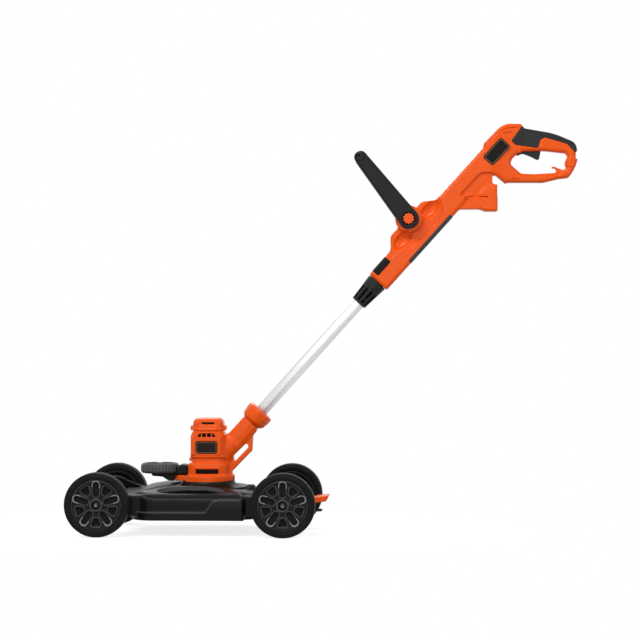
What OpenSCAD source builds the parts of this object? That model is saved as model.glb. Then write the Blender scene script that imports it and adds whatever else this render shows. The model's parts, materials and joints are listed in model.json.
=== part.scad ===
// Wheeled string trimmer: a corded line trimmer that stands in a wheeled mowing deck.
// Millimetres, Z up. The origin is on the ground, below the middle of the whole machine.
// X runs from the front wheels to the hand grip, and Y from the left side to the right.
// Pieces are drawn in the motor frame, whose Z axis is the motor axis, and then moved along X.
// Pieces of the shaft are drawn in the shaft frame, whose X axis is the tube axis.
// Pieces of the hand grip are drawn in the handle frame, which stands level on the shaft.

/* [Wheels] */
// Outer diameter of a tyre
wheel_d = 145; // [140:1:148]
// Width of a tyre
wheel_w = 40; // [34:1:44]
// Width over the outer faces of the tyres
overall_w = 380; // [378:1:396]
// Diameter of the rim inside the tyre
rim_d = 112; // [106:1:116]
// Width of a rim
rim_w = 34; // [30:1:38]
// Thickness of the rim's spoke plate
spoke_plate_t = 10; // [8:1:12]
// Depth of the pockets in the spoke plate
spoke_pocket_t = 4; // [2:0.5:5]
// Number of spokes in a rim
spoke_count = 5; // [4:1:6]
// Width of a spoke's long pocket
spoke_pocket_w = 14; // [10:1:16]
// Diameter of a wheel hub
hub_d = 30; // [27:1:33]
// Diameter of a wheel bolt's shank
axle_d = 10; // [8:0.5:12]
// Diameter of a wheel bolt's head
axle_head_d = 16; // [14:0.5:18]
// Height of a wheel bolt's head
axle_head_t = 6; // [4:0.5:8]
// Distance of the front wheels ahead of the motor axis
front_axle_reach = 235; // [232:1:245]
// Distance of the rear wheels behind the motor axis
rear_axle_reach = 182; // [180:1:190]

/* [Deck] */
// Height of the skirt's lower edge above the ground
ground_gap = 36; // [32:1:40]
// Height of the skirt from its lower edge to the ridge
skirt_h = 54; // [50:1:58]
// Height of the sloping shoulder above the ridge
shoulder_h = 10; // [8:1:12]
// Distance that the shoulder leans in
shoulder_in = 12; // [8:1:14]
// Thickness of the deck's walls
deck_wall = 3; // [2.5:0.25:3.5]
// Distance of the side panels inside the wheels' outer faces
deck_inset = 30; // [27:0.5:31]
// Distance of the side panels outside the chamber's wall
side_swell = 1; // [0.5:0.25:3]
// Distance of the deck's front ahead of the motor axis
deck_front = 165; // [162:1:168]
// Distance of the side panels' rear end behind the motor axis
deck_rear = 94; // [88:1:96]
// Radius of the deck's front corners
front_round = 58; // [44:1:62]
// Radius of the side panels' rear corners
rear_round = 8; // [5:1:12]
// Radius of the docking hole
dock_r = 78; // [74:1:80]
// Radius of the front wheel mounts
front_mount_r = 45; // [40:1:48]
// Radius of the rear wheel mounts
rear_mount_r = 34; // [30:1:38]
// Thickness of a wheel mount
mount_t = 34; // [28:1:38]
// Gap between a wheel mount and the tyre
wheel_gap = 4; // [3:0.5:6]
// Length of the tail plate behind the chamber's tail block
tail_l = 98; // [91:1:102]
// Width of the tail plate
tail_w = 120; // [100:1:130]
// Thickness of the tail plate
tail_t = 5; // [4:0.5:6]
// Height of the tail plate above the skirt's lower edge
tail_up = 10; // [8:0.5:11]

/* [Release pedal] */
// Length of the pedal behind the chamber's tail block
pedal_l = 114; // [112:1:124]
// Width of the foot pad
pedal_w = 64; // [50:1:72]
// Width of the lever
lever_w = 20; // [16:1:22]
// Distance of the pedal's pivot inside the chamber's wall
pedal_pivot_in = 9; // [6:0.5:13]
// Depth of the pedal's pivot below the deck's top
pedal_pivot_drop = 16.5; // [16:0.25:17.5]
// Diameter of the pedal's pin
pedal_pin_d = 6; // [5:0.5:7]
// Length of the lever's nose above the deck's top
nose_up = 7; // [5:0.5:8]
// Height of the lever
lever_h = 13; // [11:0.5:13.5]
// Length of the foot pad
pedal_pad_l = 33; // [28:1:36]
// Thickness of the foot pad
pedal_pad_t = 15; // [12:0.5:16]
// Drop of the foot pad below the pivot
pedal_drop = 17.5; // [15:0.5:18]
// Distance of the pedal's spring behind the chamber's tail block
pedal_spring_back = 36; // [30:1:39]
// Radius of the pedal's spring
pedal_spring_r = 6; // [5:0.5:8]

/* [Trimmer head] */
// Height of the spool guard on the deck
guard_h = 15.5; // [15:0.5:17]
// Radius of the spool guard's foot
guard_r = 88; // [86:0.5:90]
// Radius of the spool guard's neck
guard_neck_r = 60; // [58:0.5:61]
// Wall of the spool guard
guard_wall = 3; // [2.5:0.25:3.5]
// Thickness of the base flange
base_t = 13.5; // [13:0.5:15]
// Radius of the base flange
base_r = 60; // [58:0.5:61]
// Distance of the base nose ahead of the motor axis
base_nose = 80; // [78:1:82]
// Radius of the base nose
base_nose_r = 26; // [22:1:28]
// Height of the gear housing above the base flange
gear_box_h = 28; // [27:0.5:29]
// Length of the gear housing along X
gear_box_l = 92; // [90:1:96]
// Width of the gear housing along Y
gear_box_w = 84; // [80:1:90]
// Height of the waist below the motor housing
waist_h = 12.5; // [11:0.5:14]
// How far the waist stands back
waist_in = 4; // [2:0.5:5]
// Height of the motor housing
body_h = 53; // [52:1:56]
// Length of the motor housing along X
body_l = 80; // [78:1:84]
// Width of the motor housing along Y
body_w = 78; // [76:1:82]
// Corner radius of the motor housing
body_round = 18; // [12:1:22]
// Height of the taper above the motor housing
taper_h = 9; // [8:0.5:10]
// Height of the motor cap
cap_h = 28.5; // [26:0.5:31]
// Length of the motor cap along X
cap_l = 70; // [68:1:72]
// Width of the motor cap along Y
cap_w = 68; // [66:1:70]
// Diameter of the bore that holds the motor
motor_bore_d = 62; // [60:0.5:63]
// Diameter of the neck that holds the tube
neck_d = 42; // [41:0.5:43]
// Distance of the neck's end along the shaft
neck_end = 165; // [163:1:167]
// Thickness of the web below the neck
web_w = 28; // [22:1:34]
// Reach of the web behind the motor axis
web_reach = 112; // [110:0.5:113]
// Rise of the web above the base flange's underside
web_rise = 116; // [114:0.5:117]
// Depth of the vents in the gear housing
vent_t = 6; // [4:0.5:8]
// Depth of the badge seat in the motor housing
badge_sink = 1; // [0.5:0.25:1.5]

/* [Drive] */
// Tooth size: the pitch diameter of a gear over its tooth count
gear_module = 1; // [0.95:0.01:1.05]
// Number of teeth on the sun gear
sun_teeth = 15; // [15]
// Number of teeth on a planet gear
planet_teeth = 15; // [15]
// Face width of the gears
gear_w = 10; // [9:0.5:10.5]
// Gap between the flanks of two meshing teeth
backlash = 0.24; // [0.2:0.02:0.3]
// Diameter of the planet gears' pins
planet_pin_d = 4; // [3:0.5:5]
// Thickness of the planet carrier
carrier_t = 6; // [5:0.5:6.5]
// Diameter of the motor shaft
motor_shaft_d = 8; // [6:0.5:8.5]
// Diameter of the output shaft
output_shaft_d = 10; // [9:0.5:11]
// Outer diameter of the motor bearings
bearing_d = 20; // [19:0.5:22]
// Height of a bearing
bearing_h = 7; // [6:0.25:7.5]
// Height of the cooling fan
fan_h = 9; // [8:0.5:10]
// Diameter of the cooling fan
fan_d = 57; // [52:0.5:58]
// Number of fan blades
fan_blades = 12; // [8:1:14]
// Height of the field coils' ends
coil_h = 6; // [5:0.5:7]
// Height of the lamination stack
stack_h = 36; // [34:0.5:37]
// Diameter of the rotor's core
rotor_d = 35; // [32:0.5:36]
// Gap between rotor and stator
air_gap = 0.6; // [0.5:0.1:1]
// Height of the commutator
commutator_h = 12; // [11:0.5:13]
// Diameter of the commutator
commutator_d = 22; // [20:0.5:24]

/* [Spool] */
// Diameter of the spool housing
spool_d = 84; // [80:1:90]
// Height of the spool housing
spool_h = 40; // [38:0.5:41]
// Height of the spool cap
spool_cap_h = 14; // [12:0.5:15]
// Depth of the spool housing's top below the base flange
spool_drop = 22; // [21:0.5:24]
// Wall of the spool housing
spool_wall = 3; // [2.5:0.25:3.5]
// Diameter of the cutting line
line_d = 2; // [1.6:0.1:2.4]
// Distance that a cut line end stands out of the spool housing
line_stub = 9; // [4:1:12]

/* [Guide wheel] */
// Diameter of the edge guide wheel
guide_d = 90; // [84:1:92]
// Thickness of the edge guide wheel
guide_t = 23; // [20:0.5:25]
// Distance of the guide wheel ahead of the motor axis
guide_reach = 113; // [112:1:118]
// Number of ribs round the guide wheel
guide_ribs = 36; // [24:1:40]
// Depth of the ribs
guide_rib_t = 1.6; // [1:0.1:2.2]
// Diameter of the guide wheel's axle
guide_axle_d = 8; // [6:0.5:9]
// Width of the guide arm
guide_arm_w = 30; // [24:1:36]
// Thickness of the guide arm under the wheel
guide_arm_t = 3.2; // [2.6:0.2:4]

/* [Shaft] */
// Angle of the shaft above the ground
shaft_angle = 48; // [47:0.25:49]
// Height above the base flange's underside at which the shaft meets the motor axis
shaft_root_up = 25.5; // [25:0.25:26]
// Outer diameter of the tube
tube_d = 28; // [26:0.5:29]
// Wall of the tube
tube_wall = 1.5; // [1:0.25:2]
// Distance of the tube's lower end along the shaft
tube_start = 98; // [96:1:104]
// Distance of the tube's upper end along the shaft
tube_end = 715; // [710:1:720]
// Distance of the twist collar's lower end along the shaft
collar_start = 147; // [146:0.5:148]
// Length of the twist collar
collar_l = 39; // [38:0.5:42]
// Diameter of the twist collar
collar_d = 62; // [60:0.5:64]
// Number of knurls on the twist collar
collar_knurls = 14; // [10:1:18]
// Distance of the clamp nut's lower end along the shaft
nut_start = 516; // [513:1:518]
// Length of the clamp nut
nut_l = 61; // [58:0.5:62]
// Diameter of the clamp nut's lower end
nut_low_d = 38; // [37:0.5:40]
// Diameter of the clamp nut's upper end
nut_top_d = 46; // [45:0.5:50]
// Number of ribs on the clamp nut
nut_ribs = 12; // [8:1:14]

/* [Upper housing] */
// Distance of the upper housing's lower end along the shaft
beam_start = 581; // [580:0.5:583]
// Distance of the handle's root along the shaft
handle_root = 960; // [956:1:966]
// Height of the beam above the tube axis
beam_up = 25; // [24:0.5:27]
// Depth of the beam below the tube axis
beam_down = 28.5; // [27:0.5:30]
// Width of the beam
beam_w = 54; // [52:1:58]
// Wall of the upper housing
shell_wall = 3; // [2.5:0.1:3.2]
// Angle between the beam and the hand grip
handle_bend = 48; // [47:0.25:49]
// Reach of the hand grip behind its root
handle_reach = 203; // [198:1:208]
// Rise of the hand grip above its root
handle_rise = 80; // [78:0.5:83]
// Width of the hand grip
handle_w = 36; // [34:1:40]
// Width of the housing at the handle's root
crown_w = 50; // [46:1:52]
// Unit of the rounding of the housing's corners
corner_round = 10; // [9:0.25:10.5]
// How far the soft grip stands proud of the handle's sides
grip_proud = 0.8; // [0.4:0.1:1.2]
// Thickness of the soft grip
grip_t = 1.5; // [1.2:0.1:1.8]
// Distance of the inlet's rim behind the handle's root
inlet_reach = 21; // [19:0.5:22]
// Drop of the inlet's underside below the handle's root
inlet_drop = 120; // [117:0.5:123]
// Length of the inlet
inlet_l = 89; // [87:0.5:91]
// Width of the inlet
inlet_w = 46; // [44:0.5:50]
// Depth of the inlet's socket
socket_depth = 38; // [34:0.5:40]
// Distance between the inlet's two blades
blade_pitch = 12.7; // [12.7]
// Width of an inlet blade
blade_w = 6.3; // [6.3]
// Thickness of an inlet blade
blade_t = 1.5; // [1.5]
// Length of an inlet blade
blade_l = 18; // [16:0.5:20]

/* [Bail handle] */
// Distance of the bail's pivot along the shaft
bail_s = 736; // [733:1:739]
// Height of the bail's pivot above the tube axis
bail_up = 42.5; // [41:0.5:44]
// Angle between the shaft and the bail
bail_angle = 80; // [70:1:90]
// Length of the bail from its pivot to the middle of its bar
bail_l = 182; // [170:1:195]
// Radius of the bail's eyes
bail_eye_r = 23; // [21:0.5:24]
// Radius of the bail's bar
bail_bar_r = 13; // [12:0.5:15]
// Thickness of the bail's arms
bail_arm_t = 14; // [13:0.5:16]
// How far each arm spreads at the bar
bail_spread = 14; // [8:1:20]
// Radius of the pivot boss on the housing
boss_r = 31; // [29:0.5:33]
// Width over the pivot boss
boss_w = 70; // [68:1:74]
// Diameter of the pivot bolt
pivot_d = 10; // [8:0.5:12]
// Radius of the lock button over its teeth
button_r = 13; // [12:0.25:14]
// Number of teeth on the lock button
button_teeth = 10; // [8:1:12]
// Depth of the button's pocket
button_pocket = 8.5; // [8:0.25:9]
// How far the lock button stands out
button_proud = 2; // [1:0.25:3]
// Travel of the lock button
button_travel = 4; // [3:0.25:4]
// Length of the saddle on each side of the pivot
saddle_l = 95; // [92:1:98]
// Height of the saddle above the tube axis
saddle_up = 47.5; // [46:0.5:49]
// Width of the saddle
saddle_w = 40; // [36:1:44]

/* [Trigger] */
// Width of the trigger
trigger_w = 16; // [13:0.5:18]
// Diameter of the trigger's pin
trigger_pin_d = 4; // [3.5:0.25:5]
// Height of the switch block
switch_h = 18; // [15:0.5:20]

/* [Fits] */
// Gap between pieces that move on each other
run_gap = 0.3; // [0.25:0.05:0.4]
// Radial gap of a shaft in its bearing
shaft_gap = 0.08; // [0.05:0.01:0.1]
// Gap between pieces that are fixed together
fit_gap = 0.05; // [0.02:0.01:0.1]

/* [Hidden] */
$fn = 72;

// Corner tables: share along, share up and share of the corner rounding
handle_shares = [[-0.059, 0.299, 0], [-0.047, 0.449, 0.2], [0.163, 1, 4.2], [0.369, 1, 0.5],
  [0.409, 0.867, 0.6], [0.739, 0.717, 15], [0.988, 0.449, 2.2], [1, 0.212, 0.4], [0.985, 0.181, 0.1],
  [0.985, 0.012, 0.1], [1, -0.037, 0.2], [0.966, -0.312, 1.2], [0.906, -0.555, 1.4], [0.788, -0.586, 3],
  [0.616, -0.691, 4], [0.222, -0.686, 0.3], [0.192, -0.711, 0.3], [0.084, -0.48, 0.3], [-0.148, -0.48, 0]];
core_shares = [[-0.059, 0.299, 0], [0.163, 1, 4.2], [0.369, 1, 0.5], [0.409, 0.867, 0.6], [0.739, 0.717, 15],
  [0.985, 0.449, 2.2], [0.985, 0.1, 0.4], [0.966, -0.312, 1.2], [0.906, -0.555, 1.4], [0.788, -0.586, 3],
  [0.616, -0.691, 4], [0.21, -0.686, 0.5], [0.084, -0.48, 0.3], [-0.148, -0.48, 0]];
crown_shares = [[-0.059, 0.299, 0], [-0.047, 0.449, 0.2], [0.163, 1, 4.2], [0.325, 1, 0.8],
  [0.286, 0.549, 1.2], [0.217, 0.1, 1.4], [0.197, -0.175, 1], [0.197, -0.48, 0.8], [-0.148, -0.48, 0]];
opening_shares = [[0.244, -0.15, 0.9], [0.276, 0.012, 0.6], [0.355, 0.2, 0.6], [0.631, 0.218, 3],
  [0.867, 0.15, 0.6], [0.892, 0.056, 0.3], [0.865, -0.112, 1], [0.874, -0.274, 0.5], [0.773, -0.405, 1.4],
  [0.517, -0.443, 6], [0.369, -0.424, 0.8]];
grip_shares = [[0.379, 0.923, 0.1], [0.409, 0.867, 0.6], [0.739, 0.717, 15], [0.988, 0.449, 2.2],
  [1, 0.212, 0.4], [0.985, 0.187, 0.1], [0.968, 0.193, 0.1], [0.887, 0.411, 1], [0.631, 0.605, 0.8],
  [0.581, 0.524, 0.6], [0.559, 0.299, 0.4], [0.305, 0.393, 0.6], [0.261, 0.499, 0.4]];
trigger_shares = [[0.323, 0.075, 0.2], [0.365, 0.131, 0.6], [0.394, 0.143, 0.6], [0.478, 0.06, 2],
  [0.552, -0.037, 0.2], [0.574, -0.012, 0.2], [0.588, 0.17, 0.1], [0.581, 0.274, 0.2], [0.345, 0.299, 0.4],
  [0.32, 0.224, 0.2]];
hook_shares = [[0.736, -0.268, 0.1], [0.749, -0.237, 0.1], [0.788, -0.268, 0.6], [0.852, -0.324, 0],
  [0.877, -0.387, 0], [0.788, -0.424, 0], [0.783, -0.362, 0.2], [0.771, -0.318, 0.2]];
inlet_shares = [[0.107, -0.3, 0], [0.107, -0.491, 0.6], [0.236, -0.491, 0.3], [0.236, -1, 0.3],
  [-0.09, -1, 0.8], [-0.213, -0.962, 0.8], [-0.764, -0.962, 0], [-0.697, -0.8, 0], [-0.281, -0.3, 0]];
saddle_shares = [[-1, 0.379, 0], [-0.884, 0.463, 1], [-0.611, 1, 1.6], [0.526, 1, 1.6], [0.779, 0.526, 1],
  [0.947, 0.379, 0]];
web_shares = [[0.482, 0.069, 0.4], [0.482, 0.181, 0.8], [0.902, 0.603, 1], [0.915, 0.922, 1],
  [0.975, 0.975, 0.2], [0.938, 1.112, 0], [0.268, 0.509, 0], [0.268, 0.069, 0]];
web_slot_shares = [[0.518, 0.358, 0.3], [0.821, 0.664, 0.4], [0.812, 0.776, 0.4], [0.518, 0.5, 0.4]];
tyre_shares = [[0, -0.85], [0.12, -0.96], [0.42, -1], [0.75, -0.94], [0.93, -0.78], [1, -0.52],
  [1, 0.52], [0.93, 0.78], [0.75, 0.94], [0.42, 1], [0.12, 0.96], [0, 0.85]];
pocket_shares = [[0.5, -0.24], [0.86, -0.36], [0.86, 0.36], [0.5, 0.24]];

// Heights of the stack of pieces on the motor axis
wheel_r = wheel_d / 2;
rim_r = rim_d / 2;
ridge_z = ground_gap + skirt_h;
deck_z = ridge_z + shoulder_h;
guard_z = deck_z + run_gap;
base_z = guard_z + guard_h;
base_top_z = base_z + base_t;
gear_top_z = base_top_z + gear_box_h;
body_z = gear_top_z + waist_h;
body_top_z = body_z + body_h;
cap_z = body_top_z + taper_h;
cap_top_z = cap_z + cap_h;
bearing_lip = bearing_h / 5;
out_bearing_z = base_z + bearing_lip;
bay_z = out_bearing_z + bearing_h + bearing_lip;
carrier_z = bay_z + run_gap;
gear_z = carrier_z + carrier_t + run_gap;
bay_top_z = gear_z + gear_w + 2 * run_gap;
low_bearing_z = bay_top_z + bearing_lip;
fan_bay_z = low_bearing_z + bearing_h + bearing_lip;
fan_z = fan_bay_z + bearing_lip;
coil_z = fan_z + fan_h + bearing_lip;
stack_z = coil_z + coil_h;
commutator_z = stack_z + stack_h + coil_h + bearing_lip;
top_bearing_z = cap_z + bearing_lip;
shaft_top_z = top_bearing_z + bearing_h + bearing_lip;
spool_top_z = base_z - spool_drop;
spool_z = spool_top_z - spool_h;
root_z = base_z + shaft_root_up;

// Gear sizes
ring_teeth = sun_teeth + 2 * planet_teeth;
orbit_r = gear_module * (sun_teeth + planet_teeth) / 2;
ring_out_r = gear_module * ring_teeth / 2 + 4 * gear_module;
carrier_r = orbit_r + planet_pin_d;

// Places on the deck
deck_w = overall_w - 2 * deck_inset;
drum_r = deck_w / 2 - side_swell;
chamber_r = drum_r - deck_wall;
arm_out = overall_w / 2 - wheel_w - wheel_gap;
arm_in = arm_out - mount_t;
pad_x = drum_r + tail_t;
pedal_pivot_reach = drum_r - pedal_pivot_in;
pedal_spring_reach = pad_x + pedal_spring_back;
tail_z = ground_gap + tail_up;
pivot_z = deck_z - pedal_pivot_drop;
nose_x = guard_r + 2 * run_gap;
tunnel_in = lever_w / 2 + deck_wall / 2;
tunnel_z = pivot_z - lever_h;

// Places on the shaft
collar_end = collar_start + collar_l;
bush_r = tube_d / 2 + 2 * tube_wall;
flange_t = 2.5 * tube_wall;
bush_flange_r = collar_d / 2 - 4 * tube_wall;
nut_end = nut_start + nut_l;
collet_r = nut_low_d / 2 - run_gap - tube_wall / 2;
boss_y = boss_w / 2;
eye_y = boss_y + run_gap;
eye_out = eye_y + bail_arm_t;

// Points of a corner that is rounded with an arc
function flat_point(c) = [c[0], c[1]];
function at(c, i) = c[(i + len(c)) % len(c)];
function turn_of(a, b, c) = (b[0] - a[0]) * (c[1] - b[1]) - (b[1] - a[1]) * (c[0] - b[0]);
function corner_arc(a, b, c, r, steps) =
  let (u = (a - b) / norm(a - b))
  let (v = (c - b) / norm(c - b))
  let (open = acos(max(-1, min(1, u * v))))
  let (centre = b + (u + v) / norm(u + v) * r / sin(open / 2))
  let (start = b + u * r / tan(open / 2) - centre)
  let (first = atan2(start[1], start[0]))
  let (sweep = sign(turn_of(a, b, c)) * (180 - open))
  [for (k = [0:steps]) centre + r * [cos(first + sweep * k / steps), sin(first + sweep * k / steps)]];
function corner_points(c, i, steps) =
  c[i][2] <= 0 ? [flat_point(c[i])] :
  corner_arc(flat_point(at(c, i - 1)), flat_point(c[i]), flat_point(at(c, i + 1)), c[i][2], steps);
// An outline with rounded corners
function rounded(c, steps = 5) = [for (i = [0:len(c) - 1]) each corner_points(c, i, steps)];
// Corners from a table of shares
function sized(shares, l, h) = [for (p = shares) [p[0] * l, p[1] * h, p[2] * corner_round]];
// Corners moved inwards by a wall
function winding(c, i = 0) =
  i == len(c) ? 0 : c[i][0] * at(c, i + 1)[1] - at(c, i + 1)[0] * c[i][1] + winding(c, i + 1);
function edge_normal(a, b, s) = s * [a[1] - b[1], b[0] - a[0]] / norm(b - a);
function inset_corner(a, b, c, r, d, s) =
  let (m = edge_normal(a, b, s))
  let (n = edge_normal(b, c, s))
  let (p = b + (m + n) * d / (1 + m * n))
  let (bend = s * turn_of(a, b, c))
  [p[0], p[1], r <= 0 ? 0 : bend * d > 0 ? max(r - abs(d), r / 4) : r + abs(d)];
function inset(c, d) =
  let (s = sign(winding(c)))
  [for (i = [0:len(c) - 1])
    inset_corner(flat_point(at(c, i - 1)), flat_point(c[i]), flat_point(at(c, i + 1)), c[i][2], d, s)];
function box_corners(l, w, r) =
  [[-l / 2, -w / 2, r], [l / 2, -w / 2, r], [l / 2, w / 2, r], [-l / 2, w / 2, r]];
function widest(points, axis) = max([for (p = points) p[axis]]);

// A ring of ribs: the outline of a round piece with evenly spaced bumps
function ribbed(r, depth, count) =
  [for (k = [0:6 * count - 1]) let (a = 60 * k / count)
    (r - depth / 2 + depth / 2 * cos(count * a)) * [cos(a), sin(a)]];

// A helix of wire as rings of points, and the faces that join the rings
coil_sides = 6;
coil_steps = 8;
function coil_ring(r, wire, h, turns, k) =
  let (a = 360 * k / coil_steps)
  let (z = wire / 2 + (h - wire) * k / (coil_steps * turns))
  [for (j = [0:coil_sides - 1]) let (b = 360 * j / coil_sides)
    [(r + wire / 2 * cos(b)) * cos(a), (r + wire / 2 * cos(b)) * sin(a), z + wire / 2 * sin(b)]];
function tube_faces(rings) = concat(
  [[for (j = [0:coil_sides - 1]) j]],
  [for (k = [0:rings - 2]) for (j = [0:coil_sides - 1])
    let (m = (j + 1) % coil_sides)
    each [[k * coil_sides + j, (k + 1) * coil_sides + j, (k + 1) * coil_sides + m],
      [k * coil_sides + j, (k + 1) * coil_sides + m, k * coil_sides + m]]],
  [[for (j = [coil_sides - 1:-1:0]) (rings - 1) * coil_sides + j]]);
module coil(r, wire, h, turns) {
  points = [for (k = [0:coil_steps * turns]) each coil_ring(r, wire, h, turns, k)];
  polyhedron(points = points, faces = tube_faces(coil_steps * turns + 1));
}

// Outlines in the handle frame
handle_corners = sized(handle_shares, handle_reach, handle_rise);
core_corners = sized(core_shares, handle_reach, handle_rise);
crown_corners = sized(crown_shares, handle_reach, handle_rise);
opening_corners = sized(opening_shares, handle_reach, handle_rise);
grip_corners = sized(grip_shares, handle_reach, handle_rise);
trigger_corners = sized(trigger_shares, handle_reach, handle_rise);
inlet_shift = inlet_reach - inlet_shares[2][0] * inlet_l;
inlet_corners = [for (p = sized(inlet_shares, inlet_l, inlet_drop)) [p[0] + inlet_shift, p[1], p[2]]];
saddle_corners = [for (p = sized(saddle_shares, saddle_l, saddle_up)) [p[0] + bail_s, p[1], p[2]]];

// The middle of the machine along X
tilt = shaft_angle - handle_bend;
front_x = -front_axle_reach - wheel_r;
handle_x = handle_root * cos(shaft_angle);
rear_x = handle_x + max([for (p = rounded(handle_corners)) p[0] * cos(tilt) - p[1] * sin(tilt)]);
mid_x = (front_x + rear_x) / 2;

// Frames
module on_motor() {
  translate([-mid_x, 0, 0]) children();
}

module on_shaft() {
  on_motor() translate([0, 0, root_z]) rotate([0, -shaft_angle, 0]) children();
}

module on_handle() {
  on_shaft() translate([handle_root, 0, 0]) rotate([0, handle_bend, 0]) children();
}

// Shapes
module slab(points, y0, y1) {
  translate([0, y1, 0]) rotate([90, 0, 0]) linear_extrude(y1 - y0) polygon(points);
}

module block(x0, x1, y0, y1, z0, z1) {
  translate([x0, y0, z0]) cube([x1 - x0, y1 - y0, z1 - z0]);
}

module along(s0, s1, r0, r1) {
  translate([s0, 0, 0]) rotate([0, 90, 0]) cylinder(h = s1 - s0, r1 = r0, r2 = r1);
}

module across(x, z, r, y0, y1) {
  translate([x, y1, z]) rotate([90, 0, 0]) cylinder(h = y1 - y0, r = r);
}

module upright(r, z0, z1) {
  translate([0, 0, z0]) cylinder(h = z1 - z0, r = r);
}

module tower(l, w, r, z0, z1) {
  translate([0, 0, z0]) linear_extrude(z1 - z0) polygon(rounded(box_corners(l, w, r)));
}

module lofted(low, z0, high, z1) {
  n = len(low);
  points = concat([for (p = low) [p[0], p[1], z0]], [for (p = high) [p[0], p[1], z1]]);
  sides = [for (i = [0:n - 1]) [i, n + i, n + (i + 1) % n, (i + 1) % n]];
  ends = [[for (i = [0:n - 1]) i], [for (i = [n - 1:-1:0]) n + i]];
  polyhedron(points = points, faces = concat(ends, sides));
}

module half(side) {
  span = 2 * handle_root;
  intersection() {
    children();
    translate([-span / 4, side > 0 ? 0 : -span, -span / 2]) cube(span);
  }
}

// Deck
deck_corners = [[-deck_front, -deck_w / 2, front_round], [deck_rear, -deck_w / 2, rear_round],
  [deck_rear, deck_w / 2, rear_round], [-deck_front, deck_w / 2, front_round]];
function deck_outline(d) =
  let (c = inset(deck_corners, d))
  rounded([for (i = [0:3]) [c[i][0], c[i][1], max(deck_corners[i][2] - d, rear_round / 4)]]);

module front_arm_shape(wall) {
  x = -front_axle_reach;
  r = front_mount_r;
  corners = [[x, wheel_r + 0.99 * r, 0], [x + r / 2, wheel_r + 0.87 * r, r / 2],
    [-deck_front, deck_z, r / 2], [front_round - deck_front, deck_z, 0],
    [front_round - deck_front, ground_gap + skirt_h / 5, 0],
    [x + r / 2, ground_gap + skirt_h / 8, r / 4], [x, wheel_r - r / 2, 0]];
  across(x, wheel_r, r - wall, arm_in + (wall > 0 ? -deck_wall : 0), arm_out - wall);
  slab(rounded(inset(corners, wall)), arm_in + (wall > 0 ? -deck_wall : 0), arm_out - wall);
}

module rear_arm_shape(wall) {
  x = rear_axle_reach;
  r = rear_mount_r;
  corners = [[deck_rear - 2 * rear_round, deck_z, 0],
    [deck_rear - 2 * rear_round, ground_gap + skirt_h / 5, 0], [x - r, ground_gap + skirt_h / 8, r / 4],
    [x, wheel_r - 0.9 * r, 0], [x, wheel_r + 0.9 * r, 0],
    [x - r / 2, deck_z, r / 2]];
  across(x, wheel_r, r - wall, arm_in + (wall > 0 ? -deck_wall : 0), arm_out - wall);
  slab(rounded(inset(corners, wall)), arm_in + (wall > 0 ? -deck_wall : 0), arm_out - wall);
}

module wheel_boss(x) {
  across(x, wheel_r, hub_d / 2, arm_in, arm_out - deck_wall / 2);
}

module deck_cavity() {
  translate([0, 0, -deck_wall]) linear_extrude(ridge_z + deck_wall) polygon(deck_outline(deck_wall));
  lofted(deck_outline(deck_wall), ridge_z, deck_outline(shoulder_in + deck_wall), deck_z - deck_wall);
  upright(chamber_r, -deck_wall, ridge_z);
  translate([0, 0, ridge_z]) cylinder(h = shoulder_h - deck_wall, r1 = chamber_r,
    r2 = chamber_r - shoulder_in);
}

module deck_outside() {
  bridge_x = deck_front + (front_axle_reach - deck_front) / 2;
  translate([0, 0, ground_gap]) linear_extrude(skirt_h) polygon(deck_outline(0));
  lofted(deck_outline(0), ridge_z, deck_outline(shoulder_in), deck_z);
  upright(drum_r, ground_gap, ridge_z);
  translate([0, 0, ridge_z]) cylinder(h = shoulder_h, r1 = drum_r, r2 = drum_r - shoulder_in);
  block(chamber_r - deck_wall, pad_x, -tail_w / 2, tail_w / 2, ground_gap, tunnel_z - deck_wall);
  block(-bridge_x, -deck_front + front_round / 2, -arm_in - deck_wall, arm_in + deck_wall,
    deck_z - 2 * deck_wall, deck_z);
  block(-bridge_x, deck_wall - bridge_x, -arm_in - deck_wall, arm_in + deck_wall,
    deck_z - 8 * deck_wall, deck_z);
  for (side = [-1, 1]) scale([1, side, 1]) {
    difference() {
      front_arm_shape(0);
      front_arm_shape(deck_wall);
    }
    difference() {
      rear_arm_shape(0);
      rear_arm_shape(deck_wall);
    }
    wheel_boss(-front_axle_reach);
    wheel_boss(rear_axle_reach);
  }
}

module pedal_tunnel() {
  w = tunnel_in + deck_wall;
  block(nose_x - deck_wall, drum_r - deck_wall / 2, -w, w, tunnel_z - deck_wall, deck_z - deck_wall / 2);
}

module deck_shell() {
  on_motor() difference() {
    union() {
      difference() {
        deck_outside();
        deck_cavity();
      }
      intersection() {
        pedal_tunnel();
        union() {
          deck_outside();
          deck_cavity();
        }
      }
    }
    upright(dock_r, 0, deck_z + shoulder_h);
    block(nose_x - 2 * deck_wall, pad_x + deck_wall, -tunnel_in, tunnel_in, tunnel_z, deck_z - deck_wall);
    block(nose_x - deck_wall, nose_x + 1.3 * lever_h, -tunnel_in, tunnel_in, tunnel_z, deck_z + deck_wall);
    across(pedal_pivot_reach, pivot_z, pedal_pin_d / 2 + fit_gap, -tunnel_in - 2 * deck_wall,
      tunnel_in + 2 * deck_wall);
    for (x = [-front_axle_reach, rear_axle_reach]) for (side = [-1, 1])
      scale([1, side, 1]) across(x, wheel_r, axle_d / 2 + fit_gap, arm_in - deck_wall, arm_out + deck_wall);
  }
}

module axle_bolts() {
  head_y = overall_w / 2 - wheel_w / 8 - axle_head_t;
  on_motor() for (x = [-front_axle_reach, rear_axle_reach]) for (side = [-1, 1]) scale([1, side, 1]) {
    across(x, wheel_r, axle_d / 2, arm_in, head_y + axle_head_t / 2);
    across(x, wheel_r, axle_head_d / 2, head_y, head_y + axle_head_t);
  }
}

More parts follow.
